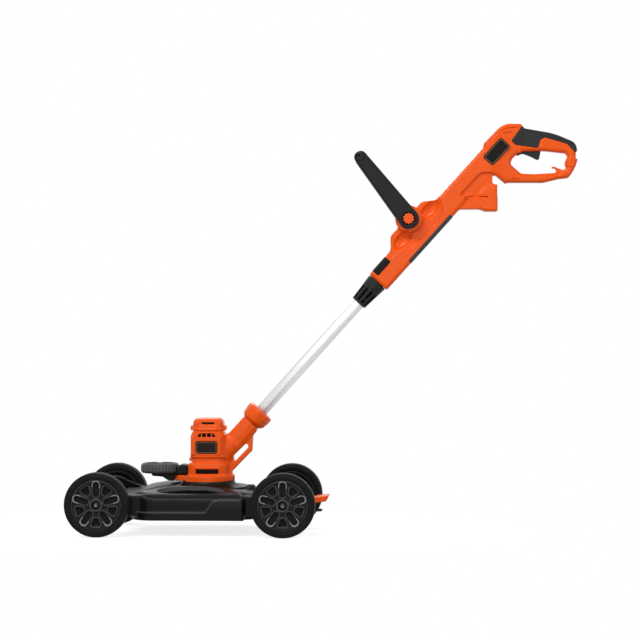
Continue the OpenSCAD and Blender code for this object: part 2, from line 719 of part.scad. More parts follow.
module tail_plate() {
  on_motor() {
    block(pad_x, pad_x + tail_l, -tail_w / 2, tail_w / 2, tail_z, tail_z + tail_t);
    block(pad_x, pad_x + tail_t, -tail_w / 2, tail_w / 2, tail_z, tail_z + 3 * tail_t);
  }
}

module pedal_pin() {
  w = tunnel_in + deck_wall;
  on_motor() across(pedal_pivot_reach, pivot_z, pedal_pin_d / 2, -w, w);
}

module pedal_spring() {
  h = pivot_z - lever_h / 2 - tail_z - tail_t - 2 * fit_gap;
  on_motor() translate([pedal_spring_reach, 0, tail_z + tail_t + fit_gap])
    coil(pedal_spring_r, pedal_spring_r / 4, h, 6);
}

module release_pedal() {
  x = pad_x + pedal_l - pedal_pad_l;
  z = pivot_z - pedal_drop;
  l = pedal_pad_l;
  t = pedal_pad_t;
  lever = [[nose_x, pivot_z, lever_h / 4], [nose_x + lever_h / 2, pivot_z - lever_h / 2, lever_h / 4],
    [pedal_spring_reach + pedal_spring_r, pivot_z - lever_h / 2, lever_h], [x, z, 0], [x, z + 0.9 * t, 0],
    [pedal_spring_reach + pedal_spring_r, pivot_z + lever_h / 4, lever_h],
    [pedal_pivot_reach, pivot_z + lever_h / 2, lever_h],
    [nose_x + lever_h, pivot_z + lever_h / 2, lever_h / 4],
    [nose_x + 0.4 * lever_h, deck_z + nose_up, lever_h / 8], [nose_x, deck_z + nose_up, lever_h / 8]];
  pad = [[x - 0.15 * l, z, t / 8], [x + 0.82 * l, z + 0.3 * t, t / 8], [x + l, z + 1.07 * t, t / 12],
    [x + 0.94 * l, z + 1.23 * t, t / 12], [x, z + 0.93 * t, t / 8]];
  on_motor() difference() {
    union() {
      slab(rounded(lever), -lever_w / 2, lever_w / 2);
      slab(rounded(pad), -pedal_w / 2, pedal_w / 2);
    }
    across(pedal_pivot_reach, pivot_z, pedal_pin_d / 2 + shaft_gap, -lever_w, lever_w);
  }
}

// Wheels: drawn with the axle along Z and the outer face up
module at_wheel(x, side) {
  on_motor() translate([x, side * (overall_w - wheel_w) / 2, wheel_r])
    rotate([-90 * side, 0, 0]) rotate([0, 0, -90 * side]) children();
}

module tyre() {
  points = [for (p = tyre_shares) [rim_r + p[0] * (wheel_r - rim_r), p[1] * wheel_w / 2]];
  rotate_extrude() polygon(points);
}

module spoke_pockets(z) {
  r0 = hub_d / 2 + spoke_pocket_w / 2 + 2 * spoke_pocket_t / 3;
  r1 = rim_r - spoke_pocket_w / 2 - spoke_pocket_t;
  for (k = [0:spoke_count - 1]) rotate(360 * k / spoke_count) {
    translate([r0, 0, z]) cylinder(h = 2 * spoke_pocket_t, d = spoke_pocket_w);
    translate([r1, 0, z]) cylinder(h = 2 * spoke_pocket_t, d = spoke_pocket_w);
    translate([r0, -spoke_pocket_w / 2, z]) cube([r1 - r0, spoke_pocket_w, 2 * spoke_pocket_t]);
    rotate(180 / spoke_count) translate([0, 0, z]) linear_extrude(2 * spoke_pocket_t)
      polygon(rounded([for (p = pocket_shares)
        [p[0] * rim_r, p[1] * rim_r * 5 / spoke_count / 1.4, spoke_pocket_t]]));
  }
}

module rim() {
  top = rim_w / 2;
  well = rim_r - 1.5 * spoke_pocket_t;
  hub_low = -wheel_w / 2 - wheel_gap + run_gap;
  head_z = wheel_w / 2 - wheel_w / 8 - axle_head_t;
  difference() {
    union() {
      upright(rim_r - fit_gap, -top, top);
      upright(hub_d / 2, hub_low, top + spoke_pocket_t / 4);
    }
    upright(well, top - spoke_pocket_t / 2, wheel_w);
    difference() {
      upright(well, -wheel_w, top - spoke_pocket_t / 2 - spoke_plate_t);
      upright(hub_d / 2, -wheel_w, wheel_w);
    }
    spoke_pockets(top - 1.5 * spoke_pocket_t);
    upright(axle_d / 2 + shaft_gap, -wheel_w, wheel_w);
    upright(axle_head_d / 2 + run_gap, head_z - run_gap, wheel_w);
  }
  difference() {
    upright(hub_d / 2, top - spoke_plate_t, top + spoke_pocket_t / 4);
    upright(axle_d / 2 + shaft_gap, -wheel_w, wheel_w);
    upright(axle_head_d / 2 + run_gap, head_z - run_gap, wheel_w);
  }
}

module tyre_front_left() {
  at_wheel(-front_axle_reach, -1) tyre();
}

module tyre_front_right() {
  at_wheel(-front_axle_reach, 1) tyre();
}

module tyre_rear_left() {
  at_wheel(rear_axle_reach, -1) tyre();
}

module tyre_rear_right() {
  at_wheel(rear_axle_reach, 1) tyre();
}

module rim_front_left() {
  at_wheel(-front_axle_reach, -1) rim();
}

module rim_front_right() {
  at_wheel(-front_axle_reach, 1) rim();
}

module rim_rear_left() {
  at_wheel(rear_axle_reach, -1) rim();
}

module rim_rear_right() {
  at_wheel(rear_axle_reach, 1) rim();
}

// Trimmer head
module head_outside() {
  nose = base_nose - base_nose_r;
  upright(base_r, base_z, base_top_z);
  translate([-nose, 0, 0]) upright(base_nose_r, base_z, base_top_z);
  translate([0, 0, base_z]) linear_extrude(base_t)
    polygon([[0, -base_r], [-nose, -base_nose_r], [-nose, base_nose_r], [0, base_r]]);
  tower(gear_box_l, gear_box_w, body_round, base_top_z, gear_top_z);
  tower(body_l - 2 * waist_in, body_w - 2 * waist_in, body_round - waist_in, gear_top_z, body_z);
  tower(body_l, body_w, body_round, body_z, body_top_z);
  lofted(rounded(box_corners(body_l, body_w, body_round)), body_top_z,
    rounded(box_corners(cap_l + waist_in / 2, cap_w + waist_in / 2, body_round)), cap_z);
  translate([0, 0, root_z]) rotate([0, -shaft_angle, 0]) along(neck_d, neck_end, neck_d / 2, neck_d / 2);
  translate([0, 0, base_z]) difference() {
    slab(rounded(sized(web_shares, web_reach, web_rise)), -web_w / 2, web_w / 2);
    slab(rounded(sized(web_slot_shares, web_reach, web_rise)), -web_w, web_w);
  }
}

module head_inside() {
  seat = bearing_d / 2 + fit_gap;
  upright(motor_bore_d / 2, fan_bay_z, cap_z + cap_h);
  upright(seat, low_bearing_z, fan_bay_z + bearing_lip);
  upright(seat - bearing_lip, bay_top_z - bearing_lip, fan_bay_z);
  upright(ring_out_r + fit_gap, bay_z, bay_top_z);
  upright(seat, out_bearing_z, out_bearing_z + bearing_h);
  upright(seat - bearing_lip, base_z - base_t, bay_z + bearing_lip);
  translate([0, 0, root_z]) rotate([0, -shaft_angle, 0]) {
    along(tube_start - tube_wall, neck_end + tube_d, tube_d / 2 + run_gap, tube_d / 2 + run_gap);
    along(neck_end - tube_d, neck_end + tube_d, bush_r + fit_gap, bush_r + fit_gap);
    along(neck_d, tube_start, tube_d / 4, tube_d / 4);
  }
  for (side = [-1, 1]) scale([1, side, 1]) {
    block(-gear_box_l / 3, gear_box_l / 4.3, gear_box_w / 2 - vent_t, gear_box_w,
      base_top_z + gear_box_h / 10, base_top_z + gear_box_h / 2.2);
    for (k = [0:3]) translate([(k - 2) * body_l / 7, 0, 0])
      block(0, body_l / 13, body_w / 2 - vent_t, body_w, body_top_z - body_h / 5.3,
        body_top_z - body_h / 26);
    block(-body_l / 2.75, body_l / 3.8, body_w / 2 - badge_sink, body_w, body_z + body_h / 6,
      body_z + body_h / 1.45);
  }
}

module motor_housing_left() {
  on_motor() half(-1) difference() {
    head_outside();
    head_inside();
    screw_holes();
  }
}

module motor_housing_right() {
  on_motor() half(1) difference() {
    head_outside();
    head_inside();
    screw_holes();
  }
}

// Screws that join the housing halves from the right side: a place is [x, z]
screw_d = axle_d / 2.5;
screw_places = [[-gear_box_l / 2.5, gear_top_z - gear_box_h / 3],
  [gear_box_l / 2.5, gear_top_z - gear_box_h / 3], [web_reach * 0.86, base_z + web_rise * 0.6]];
function screw_y(k) = k < 2 ? gear_box_w / 2 - vent_t : web_w / 2 - screw_d;

module screw(k, play) {
  at = screw_places[k];
  across(at[0], at[1], screw_d / 2 + play, -web_w / 3, screw_y(k));
  across(at[0], at[1], screw_d + play, screw_y(k) - screw_d / 2, screw_y(k) + (play > 0 ? gear_box_w : 0));
}

module screw_holes() {
  for (k = [0:len(screw_places) - 1]) screw(k, fit_gap);
}

module head_screws() {
  on_motor() for (k = [0:len(screw_places) - 1]) screw(k, 0);
}

module motor_cap() {
  wall = waist_in * 0.75;
  low = box_corners(cap_l, cap_w, body_round);
  top = cap_z + 0.72 * cap_h;
  on_motor() difference() {
    union() {
      tower(cap_l, cap_w, body_round, cap_z, top);
      lofted(rounded(low), top, rounded(inset(low, 0.18 * cap_h)), cap_top_z - 0.08 * cap_h);
      lofted(rounded(inset(low, 0.18 * cap_h)), cap_top_z - 0.08 * cap_h,
        rounded(inset(low, 0.4 * cap_h)), cap_top_z);
      for (x = [-1, 1]) block(x * cap_l / 2 - 2 * wall, x * cap_l / 2 + 2 * wall, -cap_w / 5,
        cap_w / 5, cap_z, cap_z + cap_h / 2.8);
    }
    difference() {
      tower(cap_l - 2 * wall, cap_w - 2 * wall, body_round - wall, cap_z - wall, top);
      upright(bearing_d / 2 + wall, cap_z - wall, cap_top_z);
      for (a = [45, 135]) rotate(a) block(-cap_l, cap_l, -wall / 2, wall / 2, cap_z, cap_top_z);
    }
    upright(bearing_d / 2 + fit_gap, top_bearing_z, top_bearing_z + bearing_h);
    upright(bearing_d / 2 - bearing_lip, cap_z - wall, shaft_top_z + bearing_lip);
    for (side = [-1, 1]) scale([1, side, 1])
      block(-cap_l / 4, cap_l / 5, cap_w / 2 - 2 * wall, cap_w, cap_z + cap_h * 0.49, cap_z + cap_h * 0.63);
  }
}

module spool_guard() {
  w = guard_wall;
  r0 = guard_r;
  r1 = guard_neck_r;
  curve = [for (k = [0:8]) let (a = 90 * k / 8)
    [r1 + (r0 - r1) * (1 - sin(a)), guard_z + w + (guard_h - w) * (1 - cos(a))]];
  points = concat([[r0, guard_z]], curve,
    [[output_shaft_d, base_z], [output_shaft_d, base_z - w], [r1 - w, base_z - w]],
    [for (k = [6:-1:1]) curve[k] - [w, w]], [[r0 - 4 * w, guard_z]]);
  on_motor() rotate_extrude() polygon(points);
}

guide_z = base_top_z + guide_arm_t + 2 * run_gap;
module guide_arm() {
  x = -guide_reach - guide_axle_d * 2;
  front = -base_nose - fit_gap;
  back = -gear_box_l / 2 - fit_gap;
  block_x = guide_d / 2 - guide_reach + 1.5 * guide_arm_t - 2 * run_gap;
  foot = [[x, guide_z - 2 * run_gap, 0], [x, base_top_z - guide_arm_t / 2, guide_arm_t / 4],
    [x + 1.2 * guide_axle_d, base_top_z - 2 * guide_arm_t, guide_axle_d / 4],
    [front - guide_arm_t, base_z + fit_gap, guide_arm_t / 2], [front, base_z + fit_gap, 0],
    [front, base_top_z + fit_gap, 0], [back, base_top_z + fit_gap, 0],
    [back, guide_z + guide_t - guide_arm_t, guide_arm_t],
    [block_x, guide_z + guide_t - guide_arm_t, guide_arm_t], [block_x, guide_z - 2 * run_gap, 0]];
  on_motor() difference() {
    slab(rounded(foot), -guide_arm_w / 2, guide_arm_w / 2);
    translate([-guide_reach, 0, 0]) upright(guide_axle_d / 2 + fit_gap, base_z, guide_z + guide_t);
  }
}

module guide_axle() {
  on_motor() translate([-guide_reach, 0, 0]) {
    upright(guide_axle_d / 2, base_top_z - guide_arm_t / 2, guide_z + guide_t + run_gap);
    upright(guide_axle_d, guide_z + guide_t + run_gap, guide_z + guide_t + run_gap + guide_arm_t / 2);
  }
}

module guide_wheel() {
  edge = guide_t / 6;
  r = guide_d / 2 - 1.5 * guide_rib_t;
  on_motor() translate([-guide_reach, 0, guide_z]) difference() {
    union() {
      rotate_extrude()
        polygon([[0, 0], [r - edge, 0], [r, edge], [r, guide_t - edge], [r - edge, guide_t], [0, guide_t]]);
      translate([0, 0, 1.3 * edge]) linear_extrude(guide_t - 2.6 * edge)
        polygon(ribbed(guide_d / 2, guide_rib_t, guide_ribs));
    }
    upright(guide_axle_d / 2 + shaft_gap, -guide_t, 2 * guide_t);
    for (z = [-guide_t / 4, guide_t * 0.75]) translate([0, 0, z]) difference() {
      cylinder(h = guide_t / 2, r = guide_d / 2 - guide_t / 2);
      upright(1.4 * guide_axle_d, -guide_t, guide_t);
    }
  }
}

// Neck and collar
collar_lip = 2 * tube_wall;
collar_bore = bush_flange_r + 2 * run_gap;
module neck_bush() {
  on_shaft() difference() {
    union() {
      along(neck_end - tube_d + tube_wall, neck_end + flange_t / 2, bush_r, bush_r);
      along(neck_end + fit_gap, neck_end + flange_t, bush_flange_r, bush_flange_r);
    }
    along(tube_start, tube_end, tube_d / 2 + shaft_gap, tube_d / 2 + shaft_gap);
  }
}

module twist_collar() {
  inner = neck_d / 2 + run_gap;
  mid = collar_start + collar_l * 0.4;
  on_shaft() difference() {
    union() {
      along(collar_start, mid, collar_d / 2 - collar_lip, collar_d / 2 - collar_lip / 2);
      translate([mid, 0, 0]) rotate([0, 90, 0]) linear_extrude(collar_end - mid - collar_lip / 2)
        polygon(ribbed(collar_d / 2, collar_lip / 1.5, collar_knurls));
      along(collar_end - collar_lip / 2, collar_end, collar_d / 2 - collar_lip / 1.5,
        collar_d / 2 - collar_lip);
    }
    along(0, collar_end - collar_lip, inner, inner);
    along(collar_start + collar_lip, collar_end - collar_lip, collar_bore, collar_bore);
    along(0, tube_end, tube_d / 2 + run_gap, tube_d / 2 + run_gap);
  }
}

module collar_spring() {
  r = (neck_d / 2 + collar_bore) / 2;
  wire = (collar_bore - neck_d / 2) / 4;
  h = neck_end - collar_start - collar_lip - 2 * fit_gap;
  on_shaft() translate([collar_start + collar_lip + fit_gap, 0, 0]) rotate([0, 90, 0])
    coil(r, wire, h, 4);
}

// Motor
module stator() {
  on_motor() difference() {
    upright(motor_bore_d / 2 - fit_gap, stack_z, stack_z + stack_h);
    upright(rotor_d / 2 + air_gap, stack_z - coil_h, stack_z + 2 * stack_h);
  }
}

module field_coils() {
  r0 = rotor_d / 2 + 2 * air_gap;
  r1 = motor_bore_d / 2 - 4 * air_gap;
  on_motor() for (z = [coil_z, stack_z + stack_h]) translate([0, 0, z]) difference() {
    cylinder(h = coil_h, r = r1);
    upright(r0, -coil_h, 2 * coil_h);
    block(-r1, r1, -coil_h, coil_h, -coil_h, 2 * coil_h);
  }
}

module brush_sets() {
  w = commutator_h / 4;
  z = commutator_z + commutator_h / 2;
  on_motor() for (x = [-1, 1]) scale([x, 1, 1])
    block(commutator_d / 2 + run_gap, motor_bore_d / 2 - 4 * fit_gap, -w, w, z - w, z + w);
}

module bearing(bore) {
  difference() {
    cylinder(h = bearing_h, d = bearing_d);
    translate([0, 0, -bearing_h]) cylinder(h = 3 * bearing_h, d = bore + 2 * shaft_gap);
    for (z = [-bearing_h, bearing_h * 0.85]) translate([0, 0, z]) difference() {
      cylinder(h = bearing_h * 1.15, d = bearing_d - 2 * bearing_lip);
      translate([0, 0, -bearing_h]) cylinder(h = 4 * bearing_h, d = bore + 2 * bearing_lip);
    }
  }
}

module upper_bearing() {
  on_motor() translate([0, 0, top_bearing_z]) bearing(motor_shaft_d);
}

module lower_bearing() {
  on_motor() translate([0, 0, low_bearing_z]) bearing(motor_shaft_d);
}

module output_bearing() {
  on_motor() translate([0, 0, out_bearing_z]) bearing(output_shaft_d);
}

module motor_shaft() {
  on_motor() upright(motor_shaft_d / 2, gear_z + run_gap, shaft_top_z);
}

module on_shaft_ring(r, z0, z1) {
  difference() {
    upright(r, z0, z1);
    upright(motor_shaft_d / 2 + fit_gap, z0 - bearing_h, z1 + bearing_h);
  }
}

module rotor_core() {
  slot = rotor_d / 12;
  on_motor() difference() {
    on_shaft_ring(rotor_d / 2, stack_z, stack_z + stack_h);
    for (k = [0:11]) rotate(30 * k) block(rotor_d / 2 - slot, rotor_d, -slot / 3, slot / 3,
      stack_z - slot, stack_z + 2 * stack_h);
  }
}

module commutator() {
  on_motor() {
    on_shaft_ring(commutator_d / 2, commutator_z, commutator_z + commutator_h);
    on_shaft_ring(commutator_d / 2.6, stack_z + stack_h + fit_gap, commutator_z + fit_gap);
  }
}

module cooling_fan() {
  on_motor() {
    on_shaft_ring(fan_d / 6, fan_z, fan_z + fan_h);
    on_shaft_ring(fan_d / 2, fan_z, fan_z + fan_h / 5);
    for (k = [0:fan_blades - 1]) rotate(360 * k / fan_blades)
      block(fan_d / 7, fan_d / 2.1, 0, fan_h / 6, fan_z + fan_h / 10, fan_z + fan_h);
  }
}

// Gears: stub teeth with an involute flank
gear_press = 25;
gear_up = 0.75 * gear_module;
gear_root = 1.0 * gear_module;
function roll(r, base) = r <= base ? 0 : tan(acos(base / r)) * 180 / PI - acos(base / r);
function half_tooth(r, pitch, teeth, base, slack) =
  (90 / teeth) - slack / 4 / pitch * 180 / PI + roll(pitch, base) - roll(r, base);
function tooth_radii(root, tip) = [for (k = [0:4]) root + (tip - root) * k / 4];
function turned(a) = [cos(a), sin(a)];
function gear_points(teeth, root, tip, slack) =
  let (pitch = gear_module * teeth / 2)
  let (base = pitch * cos(gear_press))
  let (radii = tooth_radii(root, tip))
  let (lean = [for (r = radii) half_tooth(r, pitch, teeth, base, slack)])
  [for (k = [0:teeth - 1]) each concat(
    [for (j = [0:4]) radii[j] * turned(360 * k / teeth - lean[j])],
    [for (j = [4:-1:0]) radii[j] * turned(360 * k / teeth + lean[j])])];
function spur_points(teeth) =
  gear_points(teeth, gear_module * teeth / 2 - gear_root, gear_module * teeth / 2 + gear_up, backlash);

module sun_gear() {
  on_motor() difference() {
    translate([0, 0, gear_z + run_gap]) linear_extrude(gear_w) polygon(spur_points(sun_teeth));
    upright(motor_shaft_d / 2 + fit_gap, gear_z - gear_w, gear_z + 3 * gear_w);
  }
}

module ring_gear() {
  r = gear_module * ring_teeth / 2;
  on_motor() translate([0, 0, gear_z]) linear_extrude(gear_w) difference() {
    circle(r = ring_out_r);
    polygon(gear_points(ring_teeth, r - gear_up, r + gear_root, -backlash));
  }
}

module planet_gear(k) {
  on_motor() rotate(120 * k) translate([orbit_r, 0, gear_z]) difference() {
    linear_extrude(gear_w) polygon(spur_points(planet_teeth));
    translate([0, 0, -gear_w]) cylinder(h = 3 * gear_w, d = planet_pin_d + 2 * shaft_gap);
  }
}

module planet_gear_a() {
  planet_gear(0);
}

module planet_gear_b() {
  planet_gear(1);
}

module planet_gear_c() {
  planet_gear(2);
}

module planet_carrier() {
  on_motor() {
    upright(carrier_r, carrier_z, carrier_z + carrier_t);
    upright(output_shaft_d / 2, spool_z + spool_wall, carrier_z + carrier_t / 2);
    for (k = [0:2]) rotate(120 * k) translate([orbit_r, 0, 0])
      upright(planet_pin_d / 2, carrier_z + carrier_t / 2, gear_z + gear_w);
  }
}

// Spool
bobbin_r = spool_d / 2 - 2.5 * spool_wall;
bobbin_z = spool_z + 2 * spool_wall;
bobbin_top_z = spool_top_z - 2 * spool_wall;
line_z = bobbin_z + (bobbin_top_z - bobbin_z) / 3;
module shaft_hole() {
  upright(output_shaft_d / 2 + fit_gap, 0, base_z);
}

module spool_housing() {
  on_motor() difference() {
    upright(spool_d / 2, spool_z, spool_top_z);
    upright(spool_d / 2 - spool_wall, spool_z - spool_wall, spool_top_z - spool_wall);
    shaft_hole();
    for (side = [-1, 1]) scale([1, side, 1]) across(0, line_z, 2 * line_d, spool_d / 4, spool_d);
  }
  on_motor() difference() {
    upright(output_shaft_d, bobbin_top_z + fit_gap, spool_top_z - spool_wall / 2);
    shaft_hole();
  }
}

module line_spool() {
  on_motor() difference() {
    union() {
      upright(2 * output_shaft_d, bobbin_z, bobbin_top_z);
      upright(bobbin_r, bobbin_z, bobbin_z + spool_wall);
      upright(bobbin_r, bobbin_top_z - spool_wall, bobbin_top_z);
    }
    shaft_hole();
  }
}

module line_winding() {
  on_motor() difference() {
    union() {
      upright(bobbin_r - spool_wall, bobbin_z + spool_wall + fit_gap, bobbin_top_z - spool_wall - fit_gap);
      across(0, line_z, line_d / 2, -spool_d / 2 - line_stub, spool_d / 2 + line_stub);
    }
    upright(2 * output_shaft_d + fit_gap, 0, base_z);
  }
}

module spool_cap() {
  low = spool_z - spool_cap_h;
  on_motor() difference() {
    union() {
      translate([0, 0, low + spool_cap_h / 2]) cylinder(h = spool_cap_h / 2, r = spool_d / 2);
      translate([0, 0, low]) cylinder(h = spool_cap_h / 2, r1 = spool_d / 2 - spool_cap_h / 2,
        r2 = spool_d / 2);
      upright(1.5 * output_shaft_d, low, bobbin_z - fit_gap);
      difference() {
        upright(spool_d / 2 - spool_wall - fit_gap, low + spool_cap_h / 2, spool_z + spool_wall);
        upright(spool_d / 2 - 2 * spool_wall, low, bobbin_z);
      }
    }
    difference() {
      upright(spool_d / 2 - 2 * spool_wall, low + spool_wall, spool_z + spool_cap_h);
      upright(1.5 * output_shaft_d, 0, base_z);
    }
    upright(output_shaft_d / 2 + fit_gap, low + spool_cap_h / 2, base_z);
  }
}

// Tube and clamp
module lower_tube() {
  on_shaft() difference() {
    along(tube_start, tube_end, tube_d / 2, tube_d / 2);
    along(tube_start - tube_d, tube_end + tube_d, tube_d / 2 - tube_wall, tube_d / 2 - tube_wall);
  }
}

module clamp_nut() {
  step = nut_l / 4;
  inner = collet_r + run_gap;
  on_shaft() difference() {
    union() {
      along(nut_start, nut_end, nut_low_d / 2, nut_top_d / 2);
      for (k = [0:nut_ribs - 1]) rotate([360 * k / nut_ribs, 0, 0])
        slab([[nut_start + step, nut_low_d / 3], [nut_end - step / 2, nut_low_d / 3],
          [nut_end - step / 2, nut_top_d / 2 + tube_wall / 2],
          [nut_start + step, nut_low_d / 2 + tube_wall]], -tube_wall, tube_wall);
    }
    along(nut_start - step, nut_end, tube_d / 2 + run_gap, tube_d / 2 + run_gap);
    along(nut_start + step, nut_end + step, inner, inner);
  }
}

module clamp_collet() {
  on_shaft() difference() {
    union() {
      along(nut_start + nut_l / 3, beam_start + 6 * shell_wall, collet_r, collet_r);
      along(beam_start + shell_wall + fit_gap, beam_start + 2 * shell_wall,
        beam_up - shell_wall - fit_gap, beam_up - shell_wall - fit_gap);
    }
    along(nut_start, tube_end, tube_d / 2 + shaft_gap, tube_d / 2 + shaft_gap);
    for (a = [45, 135]) rotate([a, 0, 0])
      block(nut_start, nut_end - nut_l / 6, -tube_wall / 2, tube_wall / 2, -tube_d, tube_d);
  }
}

// Upper housing: the shaft frame holds the beam, the handle frame the rest
module in_handle() {
  translate([handle_root, 0, 0]) rotate([0, handle_bend, 0]) children();
}

function beam_corners(d) = inset([[beam_start, -beam_down, 0], [handle_root + corner_round, -beam_down, 0],
  [handle_root + corner_round, beam_up, 0], [beam_start, beam_up, 0]], d);

module housing_solid(wall) {
  slab(rounded(beam_corners(wall)), wall - beam_w / 2, beam_w / 2 - wall);
  slab(rounded(inset(saddle_corners, wall)), wall - saddle_w / 2, saddle_w / 2 - wall);
  across(bail_s, bail_up, boss_r - wall, wall - boss_y, boss_y - wall);
  in_handle() {
    slab(rounded(inset(crown_corners, wall)), wall - crown_w / 2, crown_w / 2 - wall);
    slab(rounded(inset(inlet_corners, wall)), wall - inlet_w / 2, inlet_w / 2 - wall);
    difference() {
      slab(rounded(inset(wall > 0 ? core_corners : handle_corners, wall)), wall - handle_w / 2,
        handle_w / 2 - wall);
      slab(rounded(inset(opening_corners, -wall)), -handle_w, handle_w);
    }
  }
}

// The space that the soft grip fills
module grip_space(proud) {
  difference() {
    slab(rounded(grip_corners), -handle_w / 2 - proud, handle_w / 2 + proud);
    slab(rounded(inset(core_corners, grip_t)), grip_t - handle_w / 2, handle_w / 2 - grip_t);
  }
}

trigger_x = trigger_shares[8][0] * handle_reach + trigger_pin_d / 4;
trigger_z = trigger_shares[9][1] * handle_rise - trigger_pin_d / 4;
rim_low = inlet_shares[3][1] * inlet_drop;
rim_top = inlet_shares[2][1] * inlet_drop;
socket_x = inlet_reach - socket_depth;
rib_places = [beam_start + 11 * shell_wall, beam_start + 29 * shell_wall];

module upper_shell() {
  difference() {
    union() {
      difference() {
        housing_solid(0);
        housing_solid(shell_wall);
      }
      for (x = rib_places) intersection() {
        along(x, x + shell_wall, 2 * beam_w, 2 * beam_w);
        housing_solid(shell_wall / 2);
        slab(rounded(beam_corners(0)), -beam_w, beam_w);
      }
      difference() {
        across(bail_s, bail_up, pivot_d, -boss_y, boss_y);
        along(beam_start, handle_root, tube_d / 2 + 2 * tube_wall, tube_d / 2 + 2 * tube_wall);
      }
      in_handle() slab(rounded(sized(hook_shares, handle_reach, handle_rise)), -handle_w / 6, handle_w / 6);
    }
    along(beam_start - beam_w, beam_start + 2 * shell_wall, collet_r + fit_gap, collet_r + fit_gap);
    along(beam_start, handle_root, tube_d / 2 + run_gap, tube_d / 2 + run_gap);
    across(bail_s, bail_up, pivot_d / 2 + fit_gap, -beam_w, beam_w);
    in_handle() {
      grip_space(handle_w);
      block(inlet_reach - 2 * shell_wall, inlet_reach + corner_round, 2 * shell_wall - inlet_w / 2,
        inlet_w / 2 - 2 * shell_wall, rim_low + 2 * shell_wall, rim_top - 2 * shell_wall);
      block(trigger_shares[9][0] * handle_reach - shell_wall,
        trigger_shares[6][0] * handle_reach + shell_wall,
        -trigger_w / 2 - run_gap, trigger_w / 2 + run_gap, -corner_round, handle_rise * 0.28);
      across(trigger_x, trigger_z, trigger_pin_d / 2 + fit_gap, -handle_w / 2 + shell_wall / 2,
        handle_w / 2 - shell_wall / 2);
    }
  }
}

module upper_housing_left() {
  on_shaft() half(-1) upper_shell();
}

module upper_housing_right() {
  on_shaft() half(1) upper_shell();
}

module main_grip() {
  on_handle() grip_space(grip_proud);
}

switch_z = handle_rise * 0.42;
module switch_block() {
  x = trigger_shares[2][0] * handle_reach;
  w = handle_w / 2 - shell_wall - fit_gap;
  on_handle() block(x, x + 2 * switch_h, -w, w, switch_z, switch_z + switch_h);
}

module trigger() {
  on_handle() difference() {
    slab(rounded(trigger_corners), -trigger_w / 2, trigger_w / 2);
    across(trigger_x, trigger_z, trigger_pin_d / 2 + shaft_gap, -trigger_w, trigger_w);
  }
}

module trigger_pin() {
  on_handle() across(trigger_x, trigger_z, trigger_pin_d / 2, -handle_w / 2 + 0.6 * shell_wall,
    handle_w / 2 - 0.6 * shell_wall);
}

module trigger_spring() {
  x = trigger_shares[3][0] * handle_reach;
  z = trigger_shares[8][1] * handle_rise + fit_gap;
  on_handle() translate([x, 0, z]) coil(trigger_pin_d, trigger_pin_d / 4, switch_z - z - fit_gap, 4);
}

module plug_inlet() {
  w = inlet_w / 2 - shell_wall - fit_gap;
  low = inlet_shares[5][1] * inlet_drop + shell_wall + fit_gap;
  top = rim_top - shell_wall - fit_gap;
  x = socket_x;
  on_handle() difference() {
    block(x - 4 * shell_wall, x, -w, w, low, top);
    blades(fit_gap);
  }
}

module blades(play) {
  z = (rim_low + rim_top) / 2;
  for (side = [-1, 1]) translate([0, side * blade_pitch / 2, 0])
    block(socket_x - 2 * shell_wall, socket_x + blade_l, -blade_t / 2 - play, blade_t / 2 + play,
      z - blade_w / 2 - play, z + blade_w / 2 + play);
}

module inlet_blades() {
  on_handle() blades(0);
}

// Bail handle: drawn in its own frame, whose X axis runs from the pivot to the bar
module on_bail() {
  on_shaft() translate([bail_s, 0, bail_up]) rotate([0, -bail_angle, 0]) children();
}

function button_outline(grow) = ribbed(button_r + grow, button_r / 6, button_teeth);

module bail_arm() {
  hull() {
    across(0, 0, bail_eye_r, eye_y, eye_out);
    across(bail_l, 0, bail_bar_r, eye_y + bail_spread + bail_arm_t / 4,
      eye_out + bail_spread - bail_arm_t / 4);
  }
}

module bail_handle() {
  on_bail() difference() {
    union() {
      for (side = [-1, 1]) scale([1, side, 1]) bail_arm();
      across(bail_l, 0, bail_bar_r, -eye_y - bail_spread - bail_arm_t / 2,
        eye_y + bail_spread + bail_arm_t / 2);
    }
    across(0, 0, pivot_d / 2 + shaft_gap, -2 * eye_out, 2 * eye_out);
    slab(button_outline(run_gap), -2 * eye_out, button_pocket - eye_out);
    across(0, 0, pivot_d + run_gap, eye_out, 2 * eye_out);
    across(0, 0, bail_eye_r * 2, -eye_y + run_gap / 10, eye_y - run_gap / 10);
  }
}

module lock_button() {
  deep = button_pocket - button_travel - 2 * run_gap;
  on_bail() slab(button_outline(0), -eye_out - button_proud, deep - eye_out);
}

module pivot_bolt() {
  end = eye_out - button_pocket - run_gap;
  on_bail() {
    across(0, 0, pivot_d / 2, -end, eye_out);
    across(0, 0, pivot_d, eye_out + run_gap, eye_out + pivot_d / 3);
    across(0, 0, pivot_d / 2, eye_out - run_gap, eye_out + pivot_d / 4);
  }
}

deck_shell();
axle_bolts();
tail_plate();
pedal_pin();
pedal_spring();
release_pedal();
tyre_front_left();
tyre_front_right();
tyre_rear_left();
tyre_rear_right();
rim_front_left();
rim_front_right();
rim_rear_left();
rim_rear_right();
motor_housing_left();
motor_housing_right();
motor_cap();
spool_guard();
guide_arm();
guide_axle();
guide_wheel();
neck_bush();
twist_collar();
collar_spring();
head_screws();
stator();
field_coils();
brush_sets();
upper_bearing();
lower_bearing();
output_bearing();
ring_gear();
motor_shaft();
rotor_core();
commutator();
cooling_fan();
sun_gear();
planet_carrier();
planet_gear_a();
planet_gear_b();
planet_gear_c();
spool_housing();
line_spool();
line_winding();
spool_cap();
lower_tube();
clamp_nut();
clamp_collet();
upper_housing_left();
upper_housing_right();
main_grip();
switch_block();
trigger();
trigger_pin();
trigger_spring();
plug_inlet();
inlet_blades();
bail_handle();
lock_button();
pivot_bolt();
